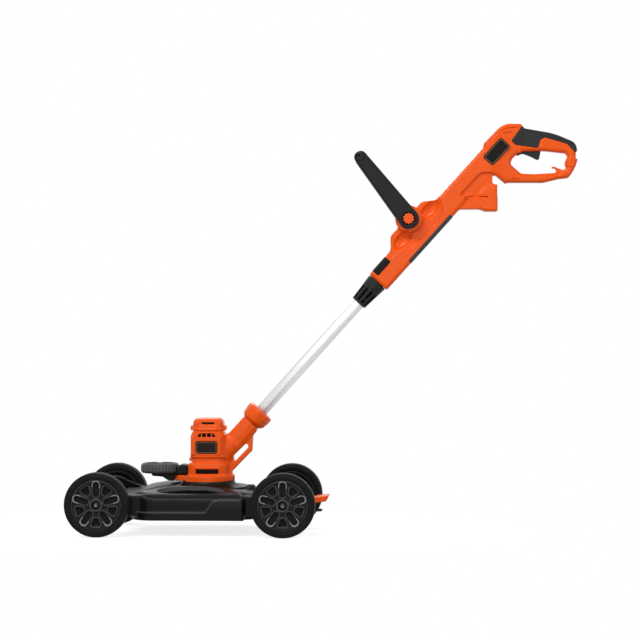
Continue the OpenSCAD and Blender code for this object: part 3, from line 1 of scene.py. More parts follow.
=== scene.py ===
"""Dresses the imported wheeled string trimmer: moulded shells, wheels, grips, finishes, light and camera."""

import json
import math

import bmesh
import bpy
import numpy as np
from mathutils import Matrix, Vector


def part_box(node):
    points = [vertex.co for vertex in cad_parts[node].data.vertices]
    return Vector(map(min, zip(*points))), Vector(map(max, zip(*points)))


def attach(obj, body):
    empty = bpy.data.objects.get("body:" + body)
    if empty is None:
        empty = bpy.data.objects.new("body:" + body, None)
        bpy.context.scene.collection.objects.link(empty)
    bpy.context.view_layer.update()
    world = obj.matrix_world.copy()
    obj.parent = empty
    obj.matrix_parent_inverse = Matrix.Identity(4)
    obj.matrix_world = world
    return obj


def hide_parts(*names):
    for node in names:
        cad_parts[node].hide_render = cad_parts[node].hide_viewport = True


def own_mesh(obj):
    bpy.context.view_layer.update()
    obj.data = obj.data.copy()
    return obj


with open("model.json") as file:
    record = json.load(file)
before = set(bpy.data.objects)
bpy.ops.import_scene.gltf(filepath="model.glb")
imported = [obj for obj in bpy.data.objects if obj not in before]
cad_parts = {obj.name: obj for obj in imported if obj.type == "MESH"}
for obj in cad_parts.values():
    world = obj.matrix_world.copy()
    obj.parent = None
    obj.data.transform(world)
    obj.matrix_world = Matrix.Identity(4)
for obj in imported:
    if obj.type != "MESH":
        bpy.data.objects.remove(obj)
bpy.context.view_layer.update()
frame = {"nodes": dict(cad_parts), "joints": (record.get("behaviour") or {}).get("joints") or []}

# Camera: a long lens a little to the right of the machine's middle, level with the shaft,
# so that the far wheels show behind the near ones.
photo_size = 640
camera_target = Vector((-0.0122, 0.0, 0.4857))
camera_distance = 5.2
camera_yaw = math.radians(-2.72)
camera_focus_pixels = 2259.5
sensor_width = 36.0
camera_aim = Vector((math.sin(camera_yaw), math.cos(camera_yaw), 0.0))
camera = bpy.data.objects.new("camera", bpy.data.cameras.new("camera"))
camera.data.sensor_width = sensor_width
camera.data.lens = camera_focus_pixels * sensor_width / photo_size
camera.data.clip_end = 60.0
camera.location = camera_target - camera_distance * camera_aim
camera.rotation_euler = camera_aim.to_track_quat("-Z", "Y").to_euler()
bpy.context.scene.collection.objects.link(camera)
bpy.context.scene.camera = camera
bpy.context.scene.view_settings.view_transform = "Standard"

# Studio light: a long narrow key above the front left that draws crisp highlights on the shells,
# a weaker broad fill from the right, a low panel in front and one behind for the upper edges.
lamps = {
    "key": ((-1.3, -2.4, 3.1), 3.2, 0.5, 96.0),
    "fill": ((2.6, -2.6, 1.2), 2.6, 2.6, 32.0),
    "rear_strip": ((-0.6, 2.4, 2.6), 1.6, 1.6, 44.0),
    "front_low": ((-0.4, -3.6, 0.7), 2.2, 2.2, 22.0),
}
for lamp_name, (lamp_place, lamp_width, lamp_height, lamp_power) in lamps.items():
    lamp = bpy.data.objects.new(lamp_name, bpy.data.lights.new(lamp_name, "AREA"))
    lamp.data.shape = "RECTANGLE"
    lamp.data.size = lamp_width
    lamp.data.size_y = lamp_height
    lamp.data.energy = lamp_power
    lamp.location = lamp_place
    lamp.rotation_euler = (camera_target - lamp.location).to_track_quat("-Z", "Y").to_euler()
    bpy.context.scene.collection.objects.link(lamp)

# World: white where the camera, a mirror or glass sees it, so that the background stays plain,
# and a dim even grey as light, so that the shells aren't washed out.
def add_nodes(tree, **kinds):
    """Adds a node for each name, and returns them by name."""
    return {name: tree.nodes.new(kind) for name, kind in kinds.items()}


def wire(tree, nodes, *wires):
    """Links nodes; each wire reads "node.socket > node.socket", a socket by its name or number."""
    for words in wires:
        ends = []
        for end, side in zip(words.split(" > "), ("outputs", "inputs")):
            node, socket = end.split(".")
            ends.append(getattr(nodes[node], side)[int(socket) if socket.isdigit() else socket])
        tree.links.new(*ends)


def plainly_seen(tree):
    """A mask that is 1 for what the camera sees, straight or by a mirror or through glass."""
    n = add_nodes(tree, path="ShaderNodeLightPath", clear="ShaderNodeMath", mirrored="ShaderNodeMath")
    n["clear"].operation = "MAXIMUM"
    n["mirrored"].operation = "MAXIMUM"
    wire(tree, n, "path.Is Camera Ray > clear.0", "path.Is Transmission Ray > clear.1",
         "clear.0 > mirrored.0", "path.Is Glossy Ray > mirrored.1")
    return n["mirrored"].outputs[0]


world = bpy.data.worlds.new("studio")
world.use_nodes = True
bpy.context.scene.world = world
sky = world.node_tree.nodes["Background"]
sky.inputs["Color"].default_value = (1.0, 1.0, 1.0, 1.0)
ambient_power = 0.34
power = world.node_tree.nodes.new("ShaderNodeMapRange")
power.inputs["To Min"].default_value = ambient_power
power.inputs["To Max"].default_value = 1.0
world.node_tree.links.new(plainly_seen(world.node_tree), power.inputs["Value"])
world.node_tree.links.new(power.outputs["Result"], sky.inputs["Strength"])

# Floor: a wide white sheet of paper that keeps a faint shadow round the wheels
# and glows plain white beyond, so that no edge of it shows.
floor_reach, shadow_reach, shadow_end = 14.0, 0.50, 0.80
paper_tone, paper_glow = 0.40, 0.80
floor_mesh = bpy.data.meshes.new("floor")
floor_corners = [(x * floor_reach, y * floor_reach, 0) for x, y in ((-1, -1), (1, -1), (1, 1), (-1, 1))]
floor_mesh.from_pydata(floor_corners, [], [(0, 1, 2, 3)])
floor = bpy.data.objects.new("floor", floor_mesh)
bpy.context.scene.collection.objects.link(floor)
paper = bpy.data.materials.new("white_paper")
paper.use_nodes = True
sheet = add_nodes(paper.node_tree, glow="ShaderNodeEmission", lit="ShaderNodeAddShader",
                  plain="ShaderNodeEmission", place="ShaderNodeTexCoord", middle="ShaderNodeMapping",
                  far="ShaderNodeVectorMath", fade="ShaderNodeMapRange", shown="ShaderNodeMixShader",
                  pick="ShaderNodeMixShader")
sheet["skin"] = paper.node_tree.nodes["Principled BSDF"]
sheet["out"] = paper.node_tree.nodes["Material Output"]
sheet["skin"].inputs["Base Color"].default_value = (paper_tone, paper_tone, paper_tone, 1.0)
sheet["skin"].inputs["Roughness"].default_value = 0.9
sheet["skin"].inputs["Specular IOR Level"].default_value = 0.0
sheet["glow"].inputs["Strength"].default_value = paper_glow
sheet["middle"].inputs["Location"].default_value = (0.30, 0.0, 0.0)
sheet["middle"].inputs["Scale"].default_value = (1.0, 1.3, 1.0)
sheet["far"].operation = "LENGTH"
sheet["fade"].inputs["From Min"].default_value = shadow_reach
sheet["fade"].inputs["From Max"].default_value = shadow_end
wire(paper.node_tree, sheet, "skin.0 > lit.0", "glow.0 > lit.1", "place.Object > middle.Vector",
     "middle.Vector > far.0", "far.Value > fade.Value", "fade.Result > shown.Fac", "lit.0 > shown.1",
     "plain.0 > shown.2", "skin.0 > pick.1", "shown.0 > pick.2", "pick.0 > out.Surface")
paper.node_tree.links.new(plainly_seen(paper.node_tree), sheet["pick"].inputs["Fac"])
floor.data.materials.append(paper)

# Deck: a black polypropylene shell, moulded in one piece, with a round cutting chamber,
# wheel arms at its four corners and a raised side panel at each rear corner.
MM = 0.001
joints = {joint["name"]: joint for joint in frame["joints"]}
motor_x = joints["rotor_spin"]["pos_m"][0] / MM


def rounded(corners, steps=6):
    """Closed outline through corners (x, z, radius), each rounded with an arc."""
    points = []
    for i, (x, z, r) in enumerate(corners):
        here = np.array((x, z), float)
        if r <= 0:
            points.append(here)
            continue
        back = np.array(corners[i - 1][:2], float) - here
        ahead = np.array(corners[(i + 1) % len(corners)][:2], float) - here
        back /= np.linalg.norm(back)
        ahead /= np.linalg.norm(ahead)
        half = math.acos(max(-1.0, min(1.0, back @ ahead))) / 2
        centre = here + (back + ahead) / np.linalg.norm(back + ahead) * r / math.sin(half)
        first = here + back * r / math.tan(half) - centre
        last = here + ahead * r / math.tan(half) - centre
        start = math.atan2(first[1], first[0])
        sweep = (math.atan2(last[1], last[0]) - start + math.pi) % (2 * math.pi) - math.pi
        for k in range(steps + 1):
            angle = start + sweep * k / steps
            points.append(centre + r * np.array((math.cos(angle), math.sin(angle))))
    return np.array(points)


def outline_distance(points, x, z):
    """Distance to a closed outline, negative inside."""
    x, z = np.broadcast_arrays(x, z)
    nearest = np.full(x.shape, 1e12)
    inside = np.zeros(x.shape, bool)
    for (ax, az), (bx, bz) in zip(points, np.roll(points, -1, 0)):
        ex, ez = bx - ax, bz - az
        length = ex * ex + ez * ez
        if length < 1e-12:
            continue
        wx, wz = x - ax, z - az
        t = np.clip((wx * ex + wz * ez) / length, 0, 1)
        nearest = np.minimum(nearest, (wx - t * ex) ** 2 + (wz - t * ez) ** 2)
        if ez != 0:
            inside ^= ((az > z) != (bz > z)) & (wx < wz * ex / ez)
    return np.where(inside, -1, 1) * np.sqrt(nearest)


def slab(flat, across, half, edge):
    """A plate: a flat outline's distance carried to both sides, with rounded edges."""
    a = flat + edge
    b = np.abs(across) - half + edge
    return np.minimum(np.maximum(a, b), 0) + np.hypot(np.maximum(a, 0), np.maximum(b, 0)) - edge


def join(a, b, fillet):
    """Union of two shapes with a fillet between them."""
    mix = np.clip(0.5 + 0.5 * (b - a) / fillet, 0, 1)
    return b + (a - b) * mix - fillet * mix * (1 - mix)


def cut(a, b, edge):
    """The first shape without the second, with a softened edge."""
    return -join(-a, b, edge)


def common(a, b, edge):
    """What two shapes share, with a softened edge."""
    return -join(-a, -b, edge)


def moulded(name, field, low, high, step, *finishes):
    """A smooth closed mesh on the zero level of a field of distances in millimetres."""
    axes = [np.arange(a, b + step, step) for a, b in zip(low, high)]
    values = field(axes[0][:, None, None], axes[1][None, :, None], axes[2][None, None, :])
    values = np.broadcast_to(values, [len(axis) for axis in axes]).astype(np.float32)
    inside = values < 0
    size = [n - 1 for n in inside.shape]
    ends = [np.array((i, j, k)) for i in (0, 1) for j in (0, 1) for k in (0, 1)]
    count = np.zeros(size, np.int8)
    for i, j, k in ends:
        count += inside[i:i + size[0], j:j + size[1], k:k + size[2]]
    mixed = (count > 0) & (count < 8)
    cells = np.argwhere(mixed)
    index = np.full(size, -1, np.int64)
    index[mixed] = np.arange(len(cells))
    total = np.zeros((len(cells), 3))
    crossings = np.zeros(len(cells))
    for a in ends:
        for b in ends:
            if (b - a).sum() != 1 or (b - a).min() < 0:
                continue
            va = values[tuple((cells + a).T)]
            vb = values[tuple((cells + b).T)]
            crossed = (va < 0) != (vb < 0)
            share = np.where(crossed, va / np.where(crossed, va - vb, 1), 0)
            total += np.where(crossed[:, None], a + share[:, None] * (b - a), 0)
            crossings += crossed
    points = np.array(low) + step * (cells + total / crossings[:, None])
    faces = []
    for axis in range(3):
        one, two = (axis + 1) % 3, (axis + 2) % 3
        near = np.take(inside, range(inside.shape[axis] - 1), axis)
        far = np.take(inside, range(1, inside.shape[axis]), axis)
        for leaving in (True, False):
            spots = np.argwhere((near & ~far) if leaving else (~near & far))
            spots = spots[(spots[:, one] > 0) & (spots[:, two] > 0)]
            spots = spots[(spots[:, one] < size[one]) & (spots[:, two] < size[two])]
            ring = []
            for d_one, d_two in ((0, 0), (-1, 0), (-1, -1), (0, -1)):
                place = spots.copy()
                place[:, one] += d_one
                place[:, two] += d_two
                ring.append(index[tuple(place.T)])
            ring = np.stack(ring, 1)
            faces.append(ring if leaving else ring[:, ::-1])
    return new_piece(name, points * MM, np.concatenate(faces).tolist(), *finishes)


def new_piece(name, points, faces, *finishes):
    """An object at the origin with smooth shading from points in metres, faces and materials."""
    mesh = bpy.data.meshes.new(name)
    mesh.from_pydata(np.asarray(points).tolist(), [], faces)
    mesh.polygons.foreach_set("use_smooth", [True] * len(mesh.polygons))
    mesh.update()
    for finish in finishes:
        mesh.materials.append(finish)
    piece = bpy.data.objects.new(name, mesh)
    bpy.context.scene.collection.objects.link(piece)
    return piece


def surface_group(name, numbers, results):
    """A shader node group with a Place input, an input for each number and an output for each result."""
    group = bpy.data.node_groups.new(name, "ShaderNodeTree")
    group.interface.new_socket("Place", in_out="INPUT", socket_type="NodeSocketVector")
    for way, names in (("INPUT", numbers), ("OUTPUT", results)):
        for socket in names:
            group.interface.new_socket(socket, in_out=way, socket_type="NodeSocketFloat")
    return group


def moulded_grain():
    """Node group: fine grain and uneven gloss of a moulded surface."""
    group = surface_group("moulded_grain", ("Grains", "Gloss", "Spread"), ("Height", "Roughness", "Mottle"))
    n = add_nodes(group, put="NodeGroupInput", out="NodeGroupOutput", fine="ShaderNodeTexNoise",
                  broad="ShaderNodeTexNoise", centre="ShaderNodeMath", spread="ShaderNodeMath",
                  sum="ShaderNodeMath")
    n["fine"].inputs["Detail"].default_value = 3.0
    n["broad"].inputs["Scale"].default_value = 34.0
    n["broad"].inputs["Detail"].default_value = 5.0
    n["centre"].operation = "SUBTRACT"
    n["centre"].inputs[1].default_value = 0.5
    n["spread"].operation = "MULTIPLY"
    n["sum"].operation = "ADD"
    wire(group, n, "put.Place > fine.Vector", "put.Place > broad.Vector", "put.Grains > fine.Scale",
         "broad.Fac > centre.0", "centre.0 > spread.0", "put.Spread > spread.1", "spread.0 > sum.0",
         "put.Gloss > sum.1", "fine.Fac > out.Height", "sum.0 > out.Roughness", "broad.Fac > out.Mottle")
    return group


def edge_wear_and_sheen():
    """Node group: a mask along outer edges, broken up, where a finish turns pale: partly wear, partly a
    painted highlight on the edges.
    """
    group = surface_group("edge_wear_and_sheen", ("Reach",), ("Mask",))
    n = add_nodes(group, put="NodeGroupInput", out="NodeGroupOutput", shape="ShaderNodeNewGeometry",
                  sharp="ShaderNodeMapRange", patch="ShaderNodeTexNoise", both="ShaderNodeMath",
                  fade="ShaderNodeMath")
    n["sharp"].inputs["From Min"].default_value = 0.52
    n["sharp"].inputs["From Max"].default_value = 0.62
    n["patch"].inputs["Scale"].default_value = 90.0
    n["both"].operation = "MULTIPLY"
    n["fade"].operation = "MULTIPLY"
    wire(group, n, "shape.Pointiness > sharp.Value", "put.Place > patch.Vector", "sharp.Result > both.0",
         "patch.Fac > both.1", "both.0 > fade.0", "put.Reach > fade.1", "fade.0 > out.Mask")
    return group


grain_group = moulded_grain()
wear_and_sheen_group = edge_wear_and_sheen()


def moulded_plastic(name, colour, shade, rubbed_and_sheen, gloss, spread, grains, depth, reach, shine=0.07):
    """A moulded plastic: two tones that mix in soft patches, grain, uneven gloss and pale edges that are
    partly wear, partly painted highlight.
    """
    material = bpy.data.materials.new(name)
    material.use_nodes = True
    tree = material.node_tree
    n = add_nodes(tree, place="ShaderNodeTexCoord", grain="ShaderNodeGroup", rub="ShaderNodeGroup",
                  tone="ShaderNodeMix", worn="ShaderNodeMix", bump="ShaderNodeBump")
    n["skin"] = tree.nodes["Principled BSDF"]
    n["grain"].node_tree = grain_group
    n["rub"].node_tree = wear_and_sheen_group
    n["tone"].data_type = "RGBA"
    n["worn"].data_type = "RGBA"
    # The pale edge tone, mixed in by the edge mask, is partly wear and partly a painted highlight along
    # edges.
    for node, socket, value in (
            ("grain", "Grains", grains), ("grain", "Gloss", gloss), ("grain", "Spread", spread),
            ("rub", "Reach", reach), ("tone", "A", (*colour, 1.0)), ("tone", "B", (*shade, 1.0)),
            ("worn", "B", (*rubbed_and_sheen, 1.0)), ("bump", "Strength", depth), ("bump", "Distance", 0.0004),
            ("skin", "Specular IOR Level", shine), ("skin", "Coat Weight", shine * 0.7),
            ("skin", "Coat Roughness", 0.16), ("skin", "IOR", 1.2 + shine * 2)):
        n[node].inputs[socket].default_value = value
    wire(tree, n, "place.Object > grain.Place", "place.Object > rub.Place", "grain.Mottle > tone.Factor",
         "tone.Result > worn.A", "rub.Mask > worn.Factor", "worn.Result > skin.Base Color",
         "grain.Roughness > skin.Roughness", "grain.Height > bump.Height", "bump.Normal > skin.Normal")
    return material


# Its pale edge tone (the third colour) lightens the deck's ridges: partly wear, partly painted highlight.
deck_black = moulded_plastic(
    "deck_black", (0.0054, 0.0054, 0.0056), (0.0040, 0.0040, 0.0042), (0.040, 0.040, 0.041),
    gloss=0.38, spread=0.12, grains=1500.0, depth=0.12, reach=0.7, shine=0.105)
# A near-black without gloss, painted in pockets, dish floors, the bolt seat and flutes: painted shade.
pocket_shade = moulded_plastic(
    "pocket_shade", (0.005, 0.005, 0.0052), (0.0035, 0.0035, 0.0036), (0.012, 0.012, 0.012),
    gloss=0.5, spread=0.14, grains=1200.0, depth=0.2, reach=0.3, shine=0.0)
# A lighter grey painted where edges and a sloped wall catch the light: painted highlight on the deck and the
# rims.
highlight_grey = moulded_plastic(
    "highlight_grey", (0.058, 0.058, 0.059), (0.046, 0.046, 0.047), (0.10, 0.10, 0.102),
    gloss=0.36, spread=0.12, grains=1200.0, depth=0.12, reach=0.8)
skirt_low, hood_top = 36.0, 111
deck_half, deck_wall, deck_front, deck_rear = 160.0, 3.0, 165.0, 94.0
drum_r, dock_r, guard_room = 159.0, 78.0, 89.6
arm_in, arm_out, wheel_r = 112.0, 146.0, 72.5
front_axle, rear_axle = -235.0, 182.0
deck_outline = rounded([(-deck_front, -deck_half, 58), (deck_rear, -deck_half, 8),
                        (deck_rear, deck_half, 8), (-deck_front, deck_half, 58)], 10)
front_arm = [(front_axle, wheel_r + 44.5, 0), (front_axle + 22, wheel_r + 39, 22), (-deck_front, 92, 22),
             (-107, 92, 0), (-107, 47, 0), (front_axle + 22, 43, 11), (front_axle, 50, 0)]
rear_arm = [(78, 90, 0), (78, 47, 0), (148, 43, 8), (rear_axle, 42, 0), (rear_axle, 100, 0), (160, 91, 17)]
upper_skirt = rounded([(-400, 55, 0), (6, 55, 8), (24, 80, 10), (40, 84.5, 12), (140, 86, 0), (140, 140, 0),
                       (-400, 140, 0)])
dish_line = rounded([(-112, -134, 8), (-84, -113, 30), (-36, -103, 60), (2, -103, 60), (34, -113, 30),
                     (52, -134, 8), (20, -145, 60), (-85, -145, 60)], 8)
dish_depth, dish_lean = 8.5, 0.8


def rounded_box(x, y, half_x, half_y, r):
    """Distance to a rectangle with rounded corners."""
    a = np.abs(x) - half_x + r
    b = np.abs(y) - half_y + r
    return np.minimum(np.maximum(a, b), 0) + np.hypot(np.maximum(a, 0), np.maximum(b, 0)) - r


def ring_distance(x, z, centre_x, centre_z, r):
    """Distance to a circle."""
    return np.hypot(x - centre_x, z - centre_z) - r


def box_distance(x, z, centre_x, centre_z, half_x, half_z):
    """Distance to a rectangle with sharp corners."""
    return np.maximum(np.abs(x - centre_x) - half_x, np.abs(z - centre_z) - half_z)


def arm_field(x, y, z, corners, centre, r, wall):
    """A wheel arm between the deck and the wheel; with a wall, its hollow, which is open to the inside."""
    flat = join(outline_distance(rounded(corners), x, z), ring_distance(x, z, centre, wheel_r, r), 4.0) + wall
    middle, half = (arm_in + arm_out) / 2, (arm_out - arm_in) / 2
    opening = 8.0 if wall else 0.0
    return slab(flat, np.abs(y) - middle + opening, half - wall + opening, 3.0)


def hood_height(mx, side):
    """Height of the deck's top: highest round the dock, falling to the front, the rear and both sides."""
    front = hood_top - 0.19 * np.maximum(-mx - 92, 0)
    rear = hood_top - 0.15 * np.maximum(mx, 0)
    flank = hood_top - 0.33 * np.maximum(side - 96, 0)
    return join(join(front, rear, 4.0), flank, 5.0)


def deck_body(plan, z, top, wall):
    """The deck's skirt and hood; with a wall, its hollow, which is open below."""
    below = -z - 20 if wall else skirt_low - z
    return common(common(plan + wall, (z - top + wall) * 0.96, 24.0), below, 0.8)


def deck_field(x, y, z):
    mx, side = x - motor_x, np.abs(y)
    plan = np.minimum(outline_distance(deck_outline, mx, y), ring_distance(mx, y, 0, 0, drum_r))
    from_dock = np.hypot(mx, y)
    top = hood_height(mx, side)
    whole = deck_body(plan, z, top, 0)
    recess = np.maximum(outline_distance(upper_skirt, mx, z), -3.4 - plan)
    whole = cut(whole, recess, 1.2)
    over_floor = np.maximum(z - top + dish_depth, 0)
    dish_plan = outline_distance(dish_line, mx, -side - dish_lean * over_floor)
    whole = cut(whole, np.maximum(dish_plan, top - dish_depth - z), 1.6)
    hollow = deck_body(plan, z, top - dish_depth + 3.0, deck_wall + 5.0)
    shell = np.maximum(whole, -hollow)
    for corners, axle, r in ((front_arm, front_axle, 45), (rear_arm, rear_axle, 34)):
        arm = arm_field(mx, y, z, corners, axle, r, 0)
        shell = join(shell, np.maximum(arm, -arm_field(mx, y, z, corners, axle, r, deck_wall)), 3.0)
    for axle in (front_axle, rear_axle):
        boss = slab(ring_distance(mx, z, axle, wheel_r, 15), side - 128.3, 16.2, 1.0)
        shell = np.minimum(shell, boss)
    bridge = slab(box_distance(mx, z, -168, 85, 32, 6), y, arm_in + 3, 2.0)
    lip = slab(box_distance(mx, z, -198.5, 79, 2.5, 12), y, arm_in + 3, 1.5)
    shell = join(shell, np.minimum(bridge, lip), 3.0)
    shell = np.maximum(shell, np.maximum(dock_r - from_dock, np.minimum(z - 100.0, guard_room - from_dock)))
    latch_cover = slab(rounded_box(mx - 94, y, 13, 18, 6), z - 96, 10.2, 5.0)
    shell = join(shell, np.maximum(latch_cover, guard_room - from_dock), 6.0)
    tail_block = slab(box_distance(mx, z, 158.5, 51.5, 5.5, 15.5), y, 60, 1.5)
    shell = join(shell, tail_block, 2.0)
    tunnel = slab(box_distance(mx, z, 122, 82.5, 35.5, 15), y, 14.5, 1.0)
    shell = np.minimum(shell, tunnel)
    channel = np.maximum(box_distance(mx, z, 126, 83.75, 42, 13.25), side - 11.5)
    slot = np.maximum(box_distance(mx, z, 95.5, 97.5, 10, 27.5), side - 11.5)
    return np.maximum(shell, -np.minimum(channel, slot))


def face_middles(piece):
    """Middles of a piece's faces in millimetres, as columns x, y and z."""
    middles = np.empty(len(piece.data.polygons) * 3)
    piece.data.polygons.foreach_get("center", middles)
    return (middles.reshape(-1, 3) / MM).T


def lighten(piece, share):
    """Thins a piece's mesh to a share of its faces where it is flat or nearly so."""
    thin = piece.modifiers.new("thin", "DECIMATE")
    thin.ratio = share
    graph = bpy.context.evaluated_depsgraph_get()
    mesh = bpy.data.meshes.new_from_object(piece.evaluated_get(graph))
    piece.modifiers.remove(thin)
    piece.data = mesh


def paint(piece, numbers):
    """Gives each face of a piece the material of its number."""
    piece.data.polygons.foreach_set("material_index", np.asarray(numbers).astype(np.int32))


deck = moulded("deck", deck_field, (motor_x - 284, -164, 32), (motor_x + 220, 164, 122), 2.0,
               deck_black, pocket_shade, highlight_grey)
face_x, face_y, face_z = face_middles(deck)
face_x -= motor_x
face_side = np.abs(face_y)
# The dish floor is painted darker as painted shade; its far wall and the side step line are painted lighter
# grey as painted highlight.
over_floor = face_z - hood_height(face_x, face_side) + dish_depth
from_dish = outline_distance(dish_line, face_x, -face_side - dish_lean * np.maximum(over_floor, 0))
floor_shade = (from_dish < -0.6) & (np.abs(over_floor) < 1.2)
wall_highlight = (np.abs(from_dish) < 1.2) & (face_side < 128)
wall_highlight &= (over_floor > 1.2) & (over_floor < dish_depth - 0.4)
step_highlight = np.abs(outline_distance(upper_skirt, face_x, face_z) - 0.2) < 1.3
step_highlight &= (face_side > 100) & (np.abs(face_x + 30) < 120)
paint(deck, np.where(floor_shade, 1, np.where(wall_highlight | step_highlight, 2, 0)))
lighten(deck, 0.6)
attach(deck, "deck")
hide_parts("deck_shell")

# Tyres: hard black rubber bands with rounded shoulders, turned as one ring and shrunk on to the rims;
# two rows of low lugs, set half a pitch apart, make the tread.
rim_r, tread_lugs = 56.0, 76
tyre_rubber = moulded_plastic(
    "tyre_rubber", (0.010, 0.010, 0.0105), (0.007, 0.007, 0.0075), (0.030, 0.030, 0.031),
    gloss=0.52, spread=0.20, grains=1100.0, depth=0.35, reach=0.5)


def turned(name, profile, segments, *finishes):
    """A closed ring turned about the Z axis from a profile of (radius, height) points in millimetres."""
    profile = np.array(profile, float)
    angles = np.arange(segments) * 2 * math.pi / segments
    points = np.stack([np.outer(np.cos(angles), profile[:, 0]), np.outer(np.sin(angles), profile[:, 0]),
                       np.broadcast_to(profile[:, 1], (segments, len(profile)))], 2).reshape(-1, 3)
    count = len(profile)
    here = np.arange(segments * count).reshape(segments, count)
    beside = np.roll(here, -1, 0)
    faces = np.stack([here, beside, np.roll(beside, -1, 1), np.roll(here, -1, 1)], 2).reshape(-1, 4)
    return new_piece(name, points * MM, faces.tolist(), *finishes)


def ring_of_parts():
    """Geometry node tree: copies of one small part, evenly spaced on a circle about Z."""
    tree = bpy.data.node_groups.new("ring_of_parts", "GeometryNodeTree")
    for name, kind in (("Part", "Object"), ("Count", "Int"), ("Radius", "Float"), ("Finish", "Material")):
        tree.interface.new_socket(name, in_out="INPUT", socket_type=f"NodeSocket{kind}")
    tree.interface.new_socket("Geometry", in_out="OUTPUT", socket_type="NodeSocketGeometry")
    n = add_nodes(tree, put="NodeGroupInput", out="NodeGroupOutput", circle="GeometryNodeMeshCircle",
                  part="GeometryNodeObjectInfo", copies="GeometryNodeInstanceOnPoints",
                  index="GeometryNodeInputIndex", step="ShaderNodeMath", angle="ShaderNodeMath",
                  turn="ShaderNodeCombineXYZ", real="GeometryNodeRealizeInstances",
                  finish="GeometryNodeSetMaterial")
    n["step"].operation = "DIVIDE"
    n["step"].inputs[0].default_value = 2 * math.pi
    n["angle"].operation = "MULTIPLY"
    wire(tree, n, "put.Count > circle.Vertices", "put.Radius > circle.Radius", "put.Part > part.Object",
         "circle.Mesh > copies.Points", "part.Geometry > copies.Instance", "put.Count > step.1",
         "index.Index > angle.0", "step.0 > angle.1", "angle.0 > turn.Z", "turn.0 > copies.Rotation",
         "copies.Instances > real.Geometry", "real.Geometry > finish.Geometry",
         "put.Finish > finish.Material", "finish.Geometry > out.Geometry")
    return tree


ring_tree = ring_of_parts()


def ring_copies(part, count, radius, finish):
    """A plain mesh of copies of a part on a circle about Z; the part itself is used up."""
    holder = new_piece("holder", [(0, 0, 0)], [])
    nodes = holder.modifiers.new("ring", "NODES")
    nodes.node_group = ring_tree
    values = {"Part": part, "Count": count, "Radius": radius * MM, "Finish": finish}
    for item in ring_tree.interface.items_tree:
        if item.in_out == "INPUT":
            nodes[item.identifier] = values[item.name]
    graph = bpy.context.evaluated_depsgraph_get()
    mesh = bpy.data.meshes.new_from_object(holder.evaluated_get(graph))
    bpy.data.objects.remove(holder)
    bpy.data.objects.remove(part)
    return mesh


def rib(name, length, width, height, lean):
    """One rib along Z: a bar with a crowned top that narrows outwards along X."""
    half = [(-0.5, -0.5), (0.5, -0.5), (0.5 * lean, 0.5), (-0.5 * lean, 0.5)]
    points, faces = [], []
    for z, shrink in ((-0.5, 0.8), (-0.4, 1.0), (0.4, 1.0), (0.5, 0.8)):
        points += [(height * x * shrink, width * y * shrink, length * z) for y, x in half]
    for k in range(3):
        faces += [(4 * k + i, 4 * k + (i + 1) % 4, 4 * k + 4 + (i + 1) % 4, 4 * k + 4 + i) for i in range(4)]
    faces += [(3, 2, 1, 0), (12, 13, 14, 15)]
    faces = [face[::-1] for face in faces]
    return new_piece(name, np.array(points) * MM, faces)


def put_together(name, meshes, place=Matrix()):
    """One object from several meshes, moved to its place."""
    grown = bmesh.new()
    materials = []
    for mesh in meshes:
        slots = []
        for material in mesh.materials:
            if material not in materials:
                materials.append(material)
            slots.append(materials.index(material))
        before = len(grown.faces)
        grown.from_mesh(mesh)
        grown.faces.ensure_lookup_table()
        for face in grown.faces[before:]:
            face.material_index = slots[face.material_index] if slots else 0
            face.smooth = True
    grown.transform(place)
    if place.determinant() < 0:
        bmesh.ops.reverse_faces(grown, faces=grown.faces)
    piece = bpy.data.objects.new(name, bpy.data.meshes.new(name))
    grown.to_mesh(piece.data)
    grown.free()
    for material in materials:
        piece.data.materials.append(material)
    bpy.context.scene.collection.objects.link(piece)
    return piece


def spent(piece):
    """Takes a scratch object's mesh and removes the object."""
    mesh = piece.data
    bpy.data.objects.remove(piece)
    return mesh


tyre_profile = rounded([(rim_r + 0.2, -17, 0.6), (58, -19.4, 2), (64, -20, 4), (72, -18.5, 3.5),
                        (72, 18.5, 3.5), (64, 20, 4), (60.2, 19.9, 0.8), (59.4, 19.0, 0.5), (58, 19.0, 0.8),
                        (rim_r + 0.2, 17, 0.6)], 5)
tyre_band = turned("tyre_band", tyre_profile, 160, tyre_rubber)
lug_left = ring_copies(rib("lug", 16.0, 2.6, 1.6, 0.8), tread_lugs, 71.65, tyre_rubber)
lug_right = lug_left.copy()
row_off, half_pitch = 7.8 * MM, math.pi / tread_lugs
lug_left.transform(Matrix.Translation((0, 0, row_off)))
lug_right.transform(Matrix.Translation((0, 0, -row_off)) @ Matrix.Rotation(half_pitch, 4, "Z"))
tyre_mesh = spent(put_together("tyre", [spent(tyre_band), lug_left, lug_right]))

# Rims: satin black moulded wheels with a raised lip, pill-shaped spokes and triangular pockets;
# each spoke's outer end carries a bright painted arc.
rim_black = moulded_plastic(
    "rim_black", (0.014, 0.014, 0.0145), (0.010, 0.010, 0.0105), (0.080, 0.080, 0.082),
    gloss=0.36, spread=0.14, grains=1400.0, depth=0.18, reach=1.0)
arc_paint = moulded_plastic(
    "arc_paint", (0.26, 0.26, 0.265), (0.21, 0.21, 0.215), (0.36, 0.36, 0.36),
    gloss=0.34, spread=0.10, grains=900.0, depth=0.10, reach=0.6)
spokes, spoke_in, spoke_out, spoke_half, border_w = 5, 25.0, 45.0, 9.6, 2.4
hub_r, bolt_seat_r = 15.0, 10.0
pocket = rounded([(29, -4.4, 3), (46.5, -11.5, 3.5), (46.5, 11.5, 3.5), (29, 4.4, 3)])


